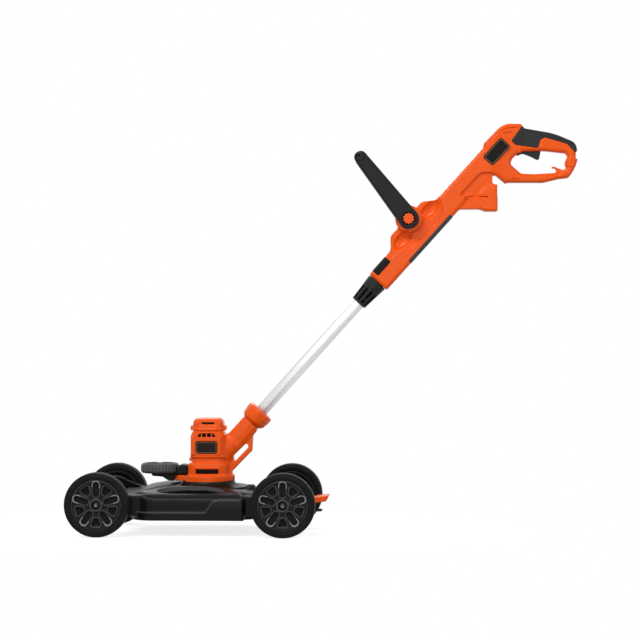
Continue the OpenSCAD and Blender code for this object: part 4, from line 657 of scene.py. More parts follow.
def spoke_fold(u, v, turn):
    """Coordinates along and across the nearest of the evenly turned spokes."""
    r = np.hypot(u, v)
    pitch = 2 * math.pi / spokes
    angle = (np.arctan2(v, u) - turn + pitch / 2) % pitch - pitch / 2
    return r * np.cos(angle), r * np.sin(angle)


def pill_distance(u, v):
    """Distance to the nearest spoke's pill outline."""
    along, across = spoke_fold(u, v, math.pi / 2)
    return np.hypot(along - np.clip(along, spoke_in, spoke_out), across) - spoke_half


def pocket_distance(u, v):
    """Distance to the outline of the nearest triangular pocket, halfway between two spokes."""
    return outline_distance(pocket, *spoke_fold(u, v, math.pi / 2 + math.pi / spokes))


def rim_field(u, v, w):
    r = np.hypot(u, v)
    barrel = np.maximum(np.abs(r - 53.0) - 2.95, np.abs(w) - 17)
    lip = slab(np.abs(r - 52.6) - 3.2, w - 14.0, 4.0, 1.2)
    plate = np.maximum(r - 52, np.abs(w - 10.0) - 4.2)
    hub = slab(r - hub_r, w + 2.8, 20.8, 1.5)
    pill = pill_distance(u, v)
    border = slab(np.abs(pill + border_w / 2) - border_w / 2, w - 13.2, 3.4, 1.1)
    solid = join(join(join(barrel, plate, 1.5), lip, 1.2), hub, 2.0)
    hole = pocket_distance(u, v)
    solid = cut(solid, np.maximum(hole, 7.2 - w), 1.2)
    solid = join(solid, slab(np.abs(hole - 1.8) - 1.3, w - 13.0, 2.9, 0.8), 0.8)
    solid = join(cut(solid, np.maximum(pill + border_w, 10.6 - w), 1.2), border, 0.8)
    seat = np.maximum(r - bolt_seat_r, 8.7 - w)
    return np.maximum(solid, -np.minimum(seat, r - 5.1))


rim_piece = moulded("rim", rim_field, (-58, -58, -26), (58, 58, 21), 1.0,
                    rim_black, arc_paint, highlight_grey, pocket_shade, tyre_rubber)
face_u, face_v, face_w = face_middles(rim_piece)
pill_here, pocket_here = pill_distance(face_u, face_v), pocket_distance(face_u, face_v)
spoke_here = spoke_fold(face_u, face_v, math.pi / 2)[0]
from_hub = np.hypot(face_u, face_v)
# Paint: bright arcs at the spokes' ends; lighter grey outlines round the pockets, pills, hub and rim as
# painted highlight; the bolt seat and the floors of pills and pockets darker as painted shade.
on_border = np.abs(pill_here + border_w / 2) < border_w / 2 + 0.3
painted = on_border & (face_w > 15.4) & (spoke_here > spoke_out - 6)
painted_highlight_lines = (face_w > 14.6) & ((np.abs(pocket_here - 1.8) < 1.3) | on_border)
painted_highlight_lines |= (face_w > 16.6) & ((np.abs(from_hub - 12.6) < 2.6) | (from_hub > 54.4))
dark = (from_hub < bolt_seat_r + 0.4) & (face_w > 5)
painted_shade_floors = ((pill_here < -border_w) | (pocket_here < -1.0)) & (np.abs(face_w - 9.0) < 3.5)
paint(rim_piece, np.where(painted, 1, np.where(painted_highlight_lines, 2, np.where(dark, 3, np.where(painted_shade_floors, 4, 0)))))
lighten(rim_piece, 0.5)
rim_mesh = spent(rim_piece)
wheel_mid = 170.0


def wheel_place(axle, side, middle):
    """Where a mesh made about Z stands as a wheel, its top turned to the given side."""
    turn = Matrix(((1, 0, 0, 0), (0, 0, side, 0), (0, 1, 0, 0), (0, 0, 0, 1)))
    return Matrix.Translation(((motor_x + axle) * MM, side * middle * MM, wheel_r * MM)) @ turn


for end, axle in (("front", front_axle), ("rear", rear_axle)):
    for side_name, side in (("left", -1), ("right", 1)):
        corner = f"{end}_{side_name}"
        place = wheel_place(axle, side, wheel_mid)
        for kind, mesh, slot_name in (("tyre", tyre_mesh, "wheel_black"), ("rim", rim_mesh, "rim_grey")):
            wheel_piece = put_together(f"{kind}_{corner}_moulded", [mesh], place)
            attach(wheel_piece, f"wheel_{corner}")
            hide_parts(f"{kind}_{corner}")

# Wheel bolts: turned steel shoulder bolts, blackened, with a bright zinc-plated socket;
# each is screwed into the boss of its arm and carries a wheel.
def metal(name, colour, shade, gloss, spread, grains, depth):
    """A bare or plated metal with fine marks and uneven gloss."""
    material = moulded_plastic(name, colour, shade, colour, gloss, spread, grains, depth, 0.0)
    material.node_tree.nodes["Principled BSDF"].inputs["Metallic"].default_value = 1.0
    return material


zinc = metal("zinc_plate", (0.42, 0.42, 0.43), (0.30, 0.30, 0.31), 0.38, 0.2, 1600.0, 0.15)
blackened = metal("blackened_steel", (0.030, 0.030, 0.031), (0.020, 0.020, 0.021), 0.42, 0.2, 1600.0, 0.2)
bolt_profile = [(0.01, 14.3), (2.6, 14.3), (3.0, 17.6), (6.4, 17.6), (7.6, 16.6), (7.9, 12.2), (5.0, 9.4),
                (5.0, -57.5), (4.2, -58.0), (0.01, -58.0)]
bolt_in, socket_r = 2.6, 3.4
bolt_meshes = []
for axle in (front_axle, rear_axle):
    for side in (-1, 1):
        bolt = turned("bolt", bolt_profile[::-1], 48, blackened, zinc)
        paint(bolt, [face.center.xy.length < socket_r * MM for face in bolt.data.polygons])
        place = wheel_place(axle, side, wheel_mid - bolt_in)
        bolt_meshes.append(spent(put_together("bolt_placed", [spent(bolt)], place)))
bolts = put_together("wheel_bolts", bolt_meshes)
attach(bolts, "deck")
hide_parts("axle_bolts")

# Tail plate: a thin black moulded tongue behind the cutting chamber, with an upright edge
# at its root and two ribs that stiffen it below the pedal.
tail_plan = rounded([(164, -60, 1), (262, -13, 8), (262, 13, 8), (164, 60, 1)])


def tail_field(x, y, z):
    mx = x - motor_x
    tongue = slab(outline_distance(tail_plan, mx, y), z - 48.5, 2.4, 1.6)
    upstand = slab(box_distance(mx, z, 166.4, 54, 2.2, 7.5), y, 59.6, 1.2)
    rib_up = slab(box_distance(mx, z, 210, 51, 42, 2.6), np.abs(y) - 8.6, 1.6, 1.2)
    return join(join(tongue, upstand, 3.0), rib_up, 2.0)


tail = moulded("tail", tail_field, (motor_x + 160, -64, 42), (motor_x + 268, 64, 66), 1.2, deck_black)
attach(tail, "deck")
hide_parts("tail_plate")

# Release pedal: an orange nylon lever that rocks on a steel pin; its nose holds the trimmer's guard
# and its foot pad stands out behind the rear wheels.
orange_shell = moulded_plastic(
    "orange_shell", (0.83, 0.094, 0.003), (0.78, 0.085, 0.003), (0.88, 0.16, 0.02),
    gloss=0.26, spread=0.10, grains=1300.0, depth=0.04, reach=0.8, shine=0.13)
pedal_lever = rounded([(88.6, 83.5, 3), (95.1, 77, 3), (206, 77, 13), (245, 66, 0), (245, 79.5, 0),
                       (206, 86.7, 13), (150, 90, 13), (101.6, 90, 3), (93.8, 104.4, 1.6),
                       (88.6, 104.4, 1.6)])
pedal_pin_x, pedal_pin_z, pin_room = 150, 83.5, 3.2
foot_pad = rounded([(240, 66, 2), (272, 70.5, 2), (278, 82, 1.2), (276, 84.4, 1.2), (245, 80, 2)])


def pedal_field(x, y, z):
    mx = x - motor_x
    lever = slab(outline_distance(pedal_lever, mx, z), y, 10.0, 2.0)
    pad_flat = outline_distance(foot_pad, mx, z)
    whole = join(lever, slab(pad_flat, y, 32.0, 2.2), 4.0)
    treads = np.abs((mx + 2.0) % 6.0 - 3.0) - 0.9
    groove = np.maximum(np.maximum(treads, np.abs(y) - 26), np.maximum(248 - mx, -1.0 - pad_flat))
    whole = cut(whole, np.maximum(groove, 74 - z), 0.8)
    return np.maximum(whole, pin_room - np.hypot(mx - pedal_pin_x, z - pedal_pin_z))


pedal = moulded("pedal", pedal_field, (motor_x + 85, -35, 62), (motor_x + 281, 35, 110), 1.1, orange_shell)
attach(pedal, "pedal")
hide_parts("release_pedal")

# Pedal pin and spring: a ground steel pin across the lever's tunnel and a coil spring of spring wire
# that stands on the tail plate and lifts the lever.
steel = metal("ground_steel", (0.46, 0.46, 0.47), (0.34, 0.34, 0.35), 0.30, 0.2, 1500.0, 0.12)


def dress(material, *names):
    """Gives pieces that are carried over as they are their finish."""
    for name in names:
        node = frame["nodes"][name]
        if not node.material_slots:
            node.data.materials.append(material)
        for place in node.material_slots:
            place.material = material


def swept(name, path, radius, material, sides=8):
    """A round wire along a path of points in millimetres, with closed ends."""
    path = np.asarray(path, float)
    ahead = np.gradient(path, axis=0)
    ahead /= np.linalg.norm(ahead, axis=1)[:, None]
    up = np.cross(ahead[0], (0.3, 0.5, 0.8))
    turns = np.arange(sides) * 2 * math.pi / sides
    points = []
    for centre, way in zip(path, ahead):
        up = up - (up @ way) * way
        up /= np.linalg.norm(up)
        beside = np.cross(way, up)
        points.append(centre + radius * (np.outer(np.cos(turns), up) + np.outer(np.sin(turns), beside)))
    here = np.arange(len(path) * sides).reshape(len(path), sides)
    beside = np.roll(here, -1, 1)
    faces = np.stack([here[:-1], beside[:-1], beside[1:], here[1:]], 2).reshape(-1, 4).tolist()
    faces += [here[0, ::-1].tolist(), here[-1].tolist()]
    return new_piece(name, np.concatenate(points) * MM, faces, material)


def spring_path(radius, height, turns, wire_half):
    """A coil spring's path about Z with a closed turn at each end; wire_half is half the wire's thickness."""
    turn_points, closed, lift = 28, 0.8, 0.6
    share = np.linspace(0, 1, turn_points * turns)
    angle = 2 * math.pi * turns * share
    rise = np.clip((share * turns - closed) / (turns - 2 * closed), 0, 1)
    low = wire_half + wire_half * lift * np.minimum(share * turns, closed)
    high = height - wire_half - wire_half * lift * np.minimum((1 - share) * turns, closed)
    return np.stack([radius * np.cos(angle), radius * np.sin(angle), low + (high - low) * rise], 1)


dress(steel, "pedal_pin")
spring_x, spring_low, spring_high, spring_r, spring_wire = motor_x + 200, 51.05, 76.95, 6.0, 1.4
pedal_path = spring_path(spring_r, spring_high - spring_low, 6, spring_wire) + (spring_x, 0, spring_low)
pedal_coil = swept("pedal_coil", pedal_path, spring_wire, steel)
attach(pedal_coil, "deck")
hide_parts("pedal_spring")
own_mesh(pedal_coil)

# Motor and drive: laminated steel, copper windings, brass and carbon at the commutator, ball bearings
# and white moulded gears, all inside the orange housing.
copper = metal("enamelled_copper", (0.60, 0.22, 0.09), (0.46, 0.15, 0.06), 0.28, 0.15, 900.0, 0.25)
brass = metal("drawn_brass", (0.66, 0.47, 0.18), (0.55, 0.37, 0.13), 0.30, 0.15, 1200.0, 0.15)
laminated = metal("laminated_steel", (0.22, 0.22, 0.23), (0.15, 0.15, 0.16), 0.45, 0.2, 700.0, 0.35)
carbon = moulded_plastic(
    "pressed_carbon", (0.018, 0.018, 0.019), (0.010, 0.010, 0.011), (0.05, 0.05, 0.05),
    gloss=0.5, spread=0.2, grains=1800.0, depth=0.3, reach=0.5)
acetal = moulded_plastic(
    "white_acetal", (0.66, 0.65, 0.60), (0.60, 0.59, 0.54), (0.74, 0.73, 0.69),
    gloss=0.38, spread=0.10, grains=1100.0, depth=0.10, reach=0.3)
dress(laminated, "stator", "rotor_core")
dress(steel, "motor_shaft", "upper_bearing", "lower_bearing", "output_bearing", "planet_carrier", "sun_gear")
dress(brass, "commutator")
dress(carbon, "brush_sets")
dress(acetal, "ring_gear", "planet_gear_a", "planet_gear_b", "planet_gear_c")
dress(deck_black, "cooling_fan")
coil_low, coil_high = (corner[2] / MM for corner in np.array(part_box("field_coils")))
coil_high_foot, coil_in, gap_half, wire_r, wire_points = coil_high - 6.0, 19.6, 6.9, 0.75, 22
coil_rows, coil_columns, column_pitch = 4, 6, 1.62
arcs = []
for foot in (coil_low, coil_high_foot):
    for side in (-1, 1):
        for row in range(coil_rows):
            for column in range(coil_columns):
                r = coil_in + column_pitch * column
                start = math.asin(gap_half / r)
                turn = np.linspace(start, math.pi - start, wire_points)
                height = np.full(wire_points, foot + wire_r + 2 * wire_r * row)
                arc = np.stack([motor_x + r * np.cos(turn), side * r * np.sin(turn), height], 1)
                arcs.append(spent(swept("turn", arc, wire_r, copper, 6)))
windings = put_together("field_windings", arcs)
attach(windings, "head")
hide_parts("field_coils")

# Spool: a black nylon drum and bobbin with an orange cap, carried over from the CAD model;
# the bobbin is wound with nylon cutting line, whose two ends leave the drum and are cut short.
cutting_line = moulded_plastic(
    "nylon_line", (0.30, 0.36, 0.06), (0.24, 0.30, 0.05), (0.40, 0.46, 0.12),
    gloss=0.26, spread=0.10, grains=800.0, depth=0.08, reach=0.3)
dress(deck_black, "spool_housing", "line_spool")
dress(orange_shell, "spool_cap")
layer_turns, layers, line_r = 10, 5, 1.0
core_r, line_low, line_rise = 21.1, 63.9, 19.8
wind = np.arange(0, layer_turns * layers + 0.01, 1 / 36)
layer = np.minimum(wind // layer_turns, layers - 1)
climb = (wind - layer * layer_turns) / layer_turns
climb = np.where(layer % 2 == 0, climb, 1 - climb)
wind_r, wind_angle = core_r + 2 * line_r * layer, 2 * math.pi * wind
wind_path = np.stack([motor_x + wind_r * np.cos(wind_angle), wind_r * np.sin(wind_angle),
                      line_low + line_rise * climb], 1)
wound = [spent(swept("wound_line", wind_path, line_r, cutting_line, 6))]
eyelet_z = 69.13
for side in (-1, 1):
    line_end = [(motor_x, side * reach, eyelet_z) for reach in (24, 30, 36, 42, 51)]
    wound.append(spent(swept("line_end", line_end, line_r, cutting_line)))
winding = put_together("wound_spool_line", wound)
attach(winding, "spool")
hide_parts("line_winding")

# Motor housing: two orange moulded halves with the gear box and base flange below, the motor above
# and the neck and its open web behind; vents and a badge seat are moulded in each side.
shaft_degrees = 48
shaft_tilt = math.radians(shaft_degrees)
rise_c, rise_s = math.cos(shaft_tilt), math.sin(shaft_tilt)
root_z, split_gap = 141.3, 0.15
web = rounded([(54, 123.8, 4), (54, 136.8, 8), (101, 185.7, 10), (102.5, 222.8, 10), (109.2, 228.9, 2),
               (105, 244.8, 0), (30, 174.8, 0), (30, 123.8, 0)])
web_slot = rounded([(58, 157.3, 3), (92, 192.8, 4), (91, 205.8, 4), (58, 173.8, 4)])
face_panel = rounded([(-38, 176, 4), (31, 176, 4), (31, 216, 5), (21, 229, 4), (-27, 229, 4), (-38, 215, 5)])
vent_low, vent_high, low_vent_z = 217.4, 226.0, 138.2
motor_badge_x, motor_badge_z = -2.1, 193.7
vents = [rounded([(a, vent_low, 0.8), (b, vent_low, 0.8), (c, vent_high, 0.8), (d, vent_high, 0.8)], 3)
         for a, b, c, d in ((-23.8, -14.6, -14.6, -16.8), (-12.2, -3.2, -3.2, -12.2), (-0.6, 8.4, 8.4, -0.6),
                            (10.8, 20.0, 13.0, 10.8))]


def along_shaft(x, z):
    """Coordinates along the shaft's axis and square to it, from a point of the row's frame."""
    mx, up = x - motor_x, z - root_z
    return mx * rise_c + up * rise_s, up * rise_c - mx * rise_s


def housing_field(x, y, z):
    mx = x - motor_x
    s, t = along_shaft(x, z)
    flange_plan = join(ring_distance(mx, y, 0, 0, 60), ring_distance(mx, y, -54, 0, 26), 16)
    flange = common(slab(flange_plan, z - 120.2, 9.0, 3.0), 114.0 + 0.045 * mx - z, 1.5)
    flange = cut(flange, np.maximum(mx + 51, z - 116.4), 2.0)
    gear_box = slab(rounded_box(mx, y, 46, 42, 18), z - 139.5, 17.8, 5.0)
    waist = slab(rounded_box(mx, y, 37, 36, 15), z - 163, 13, 2.0)
    body = slab(rounded_box(mx, y, 40, 38.4, 17) + np.maximum(z - 220, 0) * 0.5, z - 200.6, 31.0, 2.0)
    ledge = slab(rounded_box(mx, y, 41, 38.6, 17), z - 172.5, 2.4, 1.4)
    neck = slab(np.hypot(t, y) - 21, s - 90, 74.8, 1.2)
    neck = join(neck, np.maximum(slab(np.abs(t) - 21, y, 20.5, 11.0), np.abs(s - 85) - 58), 2.0)
    root = slab(np.hypot(t, y) - 24, s - 60, 30, 8)
    bracket = slab(outline_distance(web, mx, z), y, 14, 3.0)
    whole = join(join(join(flange, gear_box, 5.0), waist, 2.5), join(body, ledge, 1.5), 2.0)
    whole = join(join(whole, join(neck, root, 8), 8.0), bracket, 7.0)
    ear = slab(np.hypot(mx + 41, z - 164.5) - 4.2, y, 6, 1.5)
    whole = join(whole, ear, 1.5)
    whole = cut(whole, outline_distance(web_slot, mx, z), 2.5)
    side = np.abs(y)
    panel = slab(outline_distance(face_panel, mx, z), side - 36, 3.4, 1.2)
    whole = join(whole, panel, 1.2)
    seat = np.maximum(rounded_box(mx - motor_badge_x, z - motor_badge_z, 25.4, 14.7, 6.4), 38.3 - side)
    whole = cut(whole, seat, 0.8)
    vent_frame = slab(np.abs(rounded_box(mx + 0.8, z - low_vent_z, 30, 8.6, 4)) - 1.6, side - 40, 4.2, 1.2)
    whole = join(whole, vent_frame, 1.0)
    whole = cut(whole, np.maximum(rounded_box(mx + 0.4, z - low_vent_z, 26.2, 5.2, 1.5), 34 - side), 0.8)
    for vent in vents:
        whole = cut(whole, np.maximum(outline_distance(vent, mx, z), 30.5 - side), 0.5)
    brow = slab(rounded_box(mx + 3.5, z - 228.4, 24.5, 2.0, 1.5), side - 35, 4.2, 1.0)
    whole = join(whole, brow, 1.5)
    upright = np.hypot(mx, y)
    bore = np.maximum(upright - 31, 152.6 - z)
    bay = np.maximum(upright - 26.6, np.abs(z - 134.2) - 8.6)
    neck_bore = np.maximum(np.hypot(t, y) - 17.1, 98 - s)
    holes = np.minimum(np.minimum(bore, bay), np.minimum(upright - 10.1, neck_bore))
    return np.maximum(whole, -holes)


for side_name, side in (("left", -1), ("right", 1)):
    half = moulded(f"housing_{side_name}",
                   lambda x, y, z: np.maximum(housing_field(x, y, z), split_gap - side * y),
                   (motor_x - 84, min(0, side * 62), 114), (motor_x + 132, max(0, side * 62), 268), 1.1,
                   orange_shell)
    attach(half, "head")
    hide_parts(f"motor_housing_{side_name}")

# Vent plates and badge plates: near-black plates behind the vents, painted shade that stands in for the dark
# inside the housing, and a plain dark plate with a thin rim, pressed into the seat on each side.
badge_brown = moulded_plastic(
    "badge_plate", (0.022, 0.012, 0.009), (0.016, 0.009, 0.007), (0.16, 0.09, 0.055),
    gloss=0.30, spread=0.10, grains=900.0, depth=0.08, reach=0.4)
vent_shade_black = moulded_plastic(
    "vent_shade_black", (0.008, 0.008, 0.008), (0.005, 0.005, 0.005), (0.02, 0.02, 0.02),
    gloss=0.6, spread=0.1, grains=900.0, depth=0.4, reach=0.2)
badge_line = moulded_plastic(
    "badge_line", (0.26, 0.17, 0.10), (0.21, 0.14, 0.08), (0.30, 0.20, 0.12),
    gloss=0.34, spread=0.10, grains=900.0, depth=0.05, reach=0.4)


def vent_shade_field(x, y, z):
    mx, side = x - motor_x, np.abs(y)
    upper = slab(rounded_box(mx + 1.8, z - 221.8, 24, 5.5, 2), side - 32.4, 0.9, 0.6)
    lower = slab(rounded_box(mx + 0.4, z - low_vent_z, 28, 6.2, 2), side - 34.4, 1.2, 0.6)
    return np.minimum(upper, lower)


vent_shades = moulded("vent_screens", vent_shade_field, (motor_x - 34, -40, 129), (motor_x + 32, 40, 230), 0.9,
                  vent_shade_black)
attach(vent_shades, "head")


def badge_field(flat, side, seat, proud):
    """A plain plate with a groove along its edge, set on a seat."""
    plate = slab(flat, side - seat - proud / 2, proud / 2 + 0.6, 0.5)
    groove = np.maximum(np.abs(flat + 2.9) - 0.7, seat + proud * 0.6 - side)
    return cut(plate, groove, 0.3)


def line_rim(piece, flat, outer, inner):
    """Second material on the faces of a plate that lie between two distances inside its outline."""
    face_x, _, face_z = face_middles(piece)
    inside = -flat(face_x, face_z)
    paint(piece, (inside > outer) & (inside < inner))


def motor_badge_flat(x, z):
    """Outline of the badge plate on the motor."""
    return rounded_box(x - motor_x - motor_badge_x, z - motor_badge_z, 24.9, 14.2, 5.9)


motor_badges = moulded("motor_badges",
                       lambda x, y, z: badge_field(motor_badge_flat(x, z), np.abs(y), 38.4, 1.1),
                       (motor_x - 30, -41, 177), (motor_x + 26, 41, 210), 0.6, badge_brown, badge_line)
line_rim(motor_badges, motor_badge_flat, 2.2, 3.3)
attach(motor_badges, "head")

# Motor cap: an orange moulded lid with a rounded top and screw ears, screwed on to both halves;
# a framed air slot in each side has a near-black plate behind it, painted shade that stands in for the dark
# inside.
cap_slot_x, cap_slot_z = 1, 248.8


def cap_field(x, y, z):
    mx, side = x - motor_x, np.abs(y)
    plan = rounded_box(mx, y, 35, 34, 18)
    lid = slab(plan, z - 238.0, 22.2, 13.0)
    lid = np.maximum(lid, 231.9 - z)
    skirt = slab(rounded_box(mx, y, 36.2, 35.2, 18), z - 234.6, 2.6, 1.0)
    lid = join(lid, skirt, 1.5)
    ear = slab(np.abs(np.abs(mx) - 37) - 4.0, z - 237.2, 5.2, 1.6)
    ear = np.maximum(ear, side - 13.4)
    ear_post = slab(np.hypot(np.abs(mx) - 37.2, side * 0.8) - 3.6, z - 237.8, 5.8, 1.2)
    lid = join(join(lid, ear, 1.5), ear_post, 1.0)
    frame_dish = np.maximum(rounded_box(mx - 1, z - 248.6, 22, 5.0, 4.0), 31.6 - side)
    lid = cut(lid, frame_dish, 0.8)
    slot = np.maximum(rounded_box(mx - cap_slot_x, z - cap_slot_z, 14.2, 2.0, 1.0), 24 - side)
    lid = cut(lid, slot, 0.5)
    inner = slab(rounded_box(mx, y, 31.5, 30.5, 15), z - 234.5, 22.2, 11.0)
    return np.maximum(lid, -inner)


cap = moulded("cap", cap_field, (motor_x - 44, -38, 229), (motor_x + 44, 38, 263), 1.0, orange_shell)
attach(cap, "head")
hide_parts("motor_cap")


def cap_slot_shade_field(x, y, z):
    flat = rounded_box(x - motor_x - cap_slot_x, z - cap_slot_z, 16, 3.0, 1.0)
    return slab(flat, np.abs(y) - 26.6, 0.8, 0.5)


cap_screen = moulded("cap_screen", cap_slot_shade_field, (motor_x - 18, -29, 244), (motor_x + 20, 29, 254), 0.8,
                     vent_shade_black)
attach(cap_screen, "head")

# Spool guard: a black moulded flare between the base flange and the deck, turned as one ring;
# it is fixed under the flange, and its rim sits in the deck's dock.
flare = [(60 + 28 * (1 - math.sin(a)), 103.3 + 12.4 * (1 - math.cos(a)))
         for a in np.linspace(0, math.pi / 2, 14)]
guard_profile = [(11, 115.75), (11, 112.9), (57, 112.9)] + [(r - 3, z - 3) for r, z in flare[-3:0:-2]]
guard_profile += [(80, 100.4), (87.2, 100.4), (88, 101.2), (88, 102.6)] + flare[1:]
guard = turned("guard", guard_profile, 144, deck_black)
guard.data.transform(Matrix.Translation((motor_x * MM, 0, 0)))
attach(guard, "head")
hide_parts("spool_guard")

# Edge guide: a grey moulded wheel with low ribs that lies flat in front of the head;
# it turns on a steel axle in a black arm that is fixed to the gear box.
guide_grey = moulded_plastic(
    "guide_grey", (0.078, 0.078, 0.082), (0.062, 0.062, 0.066), (0.22, 0.22, 0.225),
    gloss=0.44, spread=0.14, grains=1200.0, depth=0.2, reach=0.8)
guide_reach, guide_low, guide_high, rib_count = 113, 133.1, 156.1, 36
guide_profile = rounded([(5.3, guide_low + 1, 0.4), (9, guide_low + 0.4, 0.6), (9, guide_low + 6, 1),
                         (33, guide_low + 6, 2), (35, guide_low, 1), (43.6, guide_low, 6),
                         (44.2, guide_high, 7.5), (35, guide_high, 1), (33, guide_high - 5, 2),
                         (9, guide_high - 5, 1), (9, guide_high - 0.6, 0.6), (5.3, guide_high - 1, 0.4)], 4)
guide_band = turned("guide_band", guide_profile, 144, guide_grey)
guide_ribs = ring_copies(rib("guide_rib", 11.0, 4.6, 1.6, 0.4), rib_count, 43.3, guide_grey)
guide_ribs.transform(Matrix.Translation((0, 0, (guide_low + guide_high) / 2 * MM)))
guide_place = Matrix.Translation(((motor_x - guide_reach) * MM, 0, 0))
guide = put_together("guide_wheel_ribbed", [spent(guide_band), guide_ribs], guide_place)
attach(guide, "guide")
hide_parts("guide_wheel")
dress(steel, "guide_axle")
dress(deck_black, "neck_bush")
arm_line = rounded([(-131, 132.4, 0), (-131, 128.4, 1), (-127, 126.4, 2), (-106, 124.8, 3), (-93, 116.4, 3),
                    (-80.2, 115.4, 0), (-80.2, 129.4, 0), (-46.4, 129.4, 0), (-46.4, 152, 5), (-60, 154, 7),
                    (-78, 146, 3), (-78, 132.4, 0)])


def guide_arm_field(x, y, z):
    mx = x - motor_x
    flat = outline_distance(arm_line, mx, z)
    block = np.maximum(slab(flat, y, 24.0, 4.0), np.maximum(-79 - mx, 129.4 - z))
    whole = join(slab(flat, y, 14.8, 2.0), block, 2.0)
    from_axle = np.hypot(mx + guide_reach, y)
    wheel_room = np.maximum(from_axle - 46.4, 132.4 - z)
    return np.maximum(np.maximum(whole, -wheel_room), 5.1 - from_axle)


guide_arm = moulded("guide_arm_moulded", guide_arm_field, (motor_x - 134, -27, 112), (motor_x - 44, 27, 158),
                    1.0, deck_black)
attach(guide_arm, "head")
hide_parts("guide_arm")

# Twist collar: an orange moulded ring with a lobed grip that slides on the neck;
# a coil spring of spring wire inside it pushes it down.
lobe_count = 8
shaft_root = Vector((motor_x * MM, 0, root_z * MM))
shaft_place = Matrix.Translation(shaft_root) @ Matrix.Rotation(math.radians(90 - shaft_degrees), 4, "Y")


def collar_field(x, y, z):
    r, angle = np.hypot(x, y), np.arctan2(y, x)
    girth = 23.4 + 6.4 * np.sin(np.clip((z - 147.6) / 11, 0, 1) * math.pi / 2)
    lobes = (1 + np.cos(lobe_count * angle)) / 2 * np.clip((z - 160) / 8, 0, 1)
    solid = np.maximum(common(r - girth - 1.5 * lobes, z - 182.4, 6.0), 147.6 - z)
    bore = np.minimum(np.maximum(r - 21.3, z - 180), np.maximum(r - 25.2, np.abs(z - 165.5) - 14.5))
    return np.maximum(solid, -np.minimum(bore, r - 14.3))


collar = moulded("collar", collar_field, (-34, -34, 145), (34, 34, 189), 0.9, orange_shell)
collar.data.transform(shaft_place)
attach(collar, "collar")
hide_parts("twist_collar")
coil_foot, coil_wire, coil_head_metres = 150.1, 1.0, 0.1651
collar_path = spring_path(23.3, 14.8, 4, coil_wire) + (0, 0, coil_foot)
collar_coil = swept("collar_coil", collar_path, coil_wire, steel)
collar_coil.data.transform(shaft_place)
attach(collar_coil, "head")
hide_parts("collar_spring")
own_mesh(collar_coil)

# Shaft tube: a drawn aluminium tube, left bare, with fine lines along its length;
# it turns in the neck and slides into the upper housing.
def drawn_metal(name, colour, shade, gloss, lines):
    """Bare metal with fine drawing lines along the shaft."""
    material = bpy.data.materials.new(name)
    material.use_nodes = True
    tree = material.node_tree
    n = add_nodes(tree, place="ShaderNodeTexCoord", turn="ShaderNodeMapping", stretch="ShaderNodeMapping",
                  streak="ShaderNodeTexNoise", tone="ShaderNodeMix", gloss="ShaderNodeMapRange")
    n["skin"] = tree.nodes["Principled BSDF"]
    n["tone"].data_type = "RGBA"
    for node, socket, value in (
            ("turn", "Rotation", (0, shaft_tilt, 0)), ("stretch", "Scale", (0.02, 1, 1)),
            ("streak", "Scale", lines), ("streak", "Detail", 4.0), ("tone", "A", (*colour, 1)),
            ("tone", "B", (*shade, 1)), ("gloss", "To Min", gloss - 0.03), ("gloss", "To Max", gloss + 0.03),
            ("skin", "Metallic", 1.0)):
        n[node].inputs[socket].default_value = value
    wire(tree, n, "place.Object > turn.Vector", "turn.Vector > stretch.Vector",
         "stretch.Vector > streak.Vector", "streak.Fac > tone.Factor", "streak.Fac > gloss.Value",
         "tone.Result > skin.Base Color", "gloss.Result > skin.Roughness")
    return material


aluminium = drawn_metal("drawn_aluminium", (0.67, 0.67, 0.68), (0.65, 0.65, 0.66), 0.42, 150.0)
tube_profile = [(12.5, 98.4), (12.9, 98.0), (13.6, 98.0), (14, 98.6), (14, 714.4), (13.6, 715), (12.9, 715),
                (12.5, 714.6)]
tube = turned("tube", tube_profile, 96, aluminium)
tube.data.transform(shaft_place)
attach(tube, "shaft")
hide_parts("lower_tube")

# Clamp nut: a black moulded cone with ten flutes, screwed on to the upper housing;
# it closes the split collet on the tube.
nut_black = moulded_plastic(
    "nut_black", (0.017, 0.017, 0.0175), (0.013, 0.013, 0.0135), (0.06, 0.06, 0.061),
    gloss=0.32, spread=0.12, grains=1300.0, depth=0.10, reach=0.8, shine=0.12)
flute_count = 10


def nut_taper(x, y, z):
    """Distance from the nut's tapered outside."""
    return np.hypot(x, y) - 18.7 - (z - 516) * 0.084


def nut_field(x, y, z):
    r, angle = np.hypot(x, y), np.arctan2(y, x)
    taper = nut_taper(x, y, z)
    cone = slab(taper, z - 548.3, 32.2, 1.6)
    pitch = 2 * math.pi / flute_count
    across = r * np.sin((angle + pitch / 2) % pitch - pitch / 2)
    flute = np.hypot(across, z - np.clip(z, 523, 553)) - 3.0
    solid = cut(cone, np.maximum(flute, -taper - 1.35), 0.7)
    return np.maximum(solid, -np.minimum(np.maximum(r - 14.6, z - 540), np.maximum(r - 18.25, 532 - z)))


nut = moulded("nut_fluted", nut_field, (-27, -27, 513), (27, 27, 584), 0.8, nut_black, pocket_shade)
face_x, face_y, face_z = face_middles(nut)
# The flute floors get the darker pocket material: painted shade.
paint(nut, (nut_taper(face_x, face_y, face_z) < -0.75) & (np.abs(face_z - 538) < 19))
nut.data.transform(shaft_place)
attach(nut, "nut")
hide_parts("clamp_nut")
dress(deck_black, "clamp_collet")

# Upper housing: two orange moulded halves that clamp the tube, carry the bail's pivot on a saddle,
# and end in the D handle with the inlet shroud below it.
handle_x, handle_z, reach, rise = 373.547, 854.719, 203.0, 80.0
pivot_s, pivot_t, saddle_half, saddle_rise = 736.0, 42.5, 95, 47.5
badge_s, badge_t, upper_wall = 984, -4, 3.0


def in_handle(shares, width=reach, height=rise):
    """An outline in the handle's own frame from shares of its reach and rise."""
    return rounded([(x * width, z * height, r * 10) for x, z, r in shares], 8)


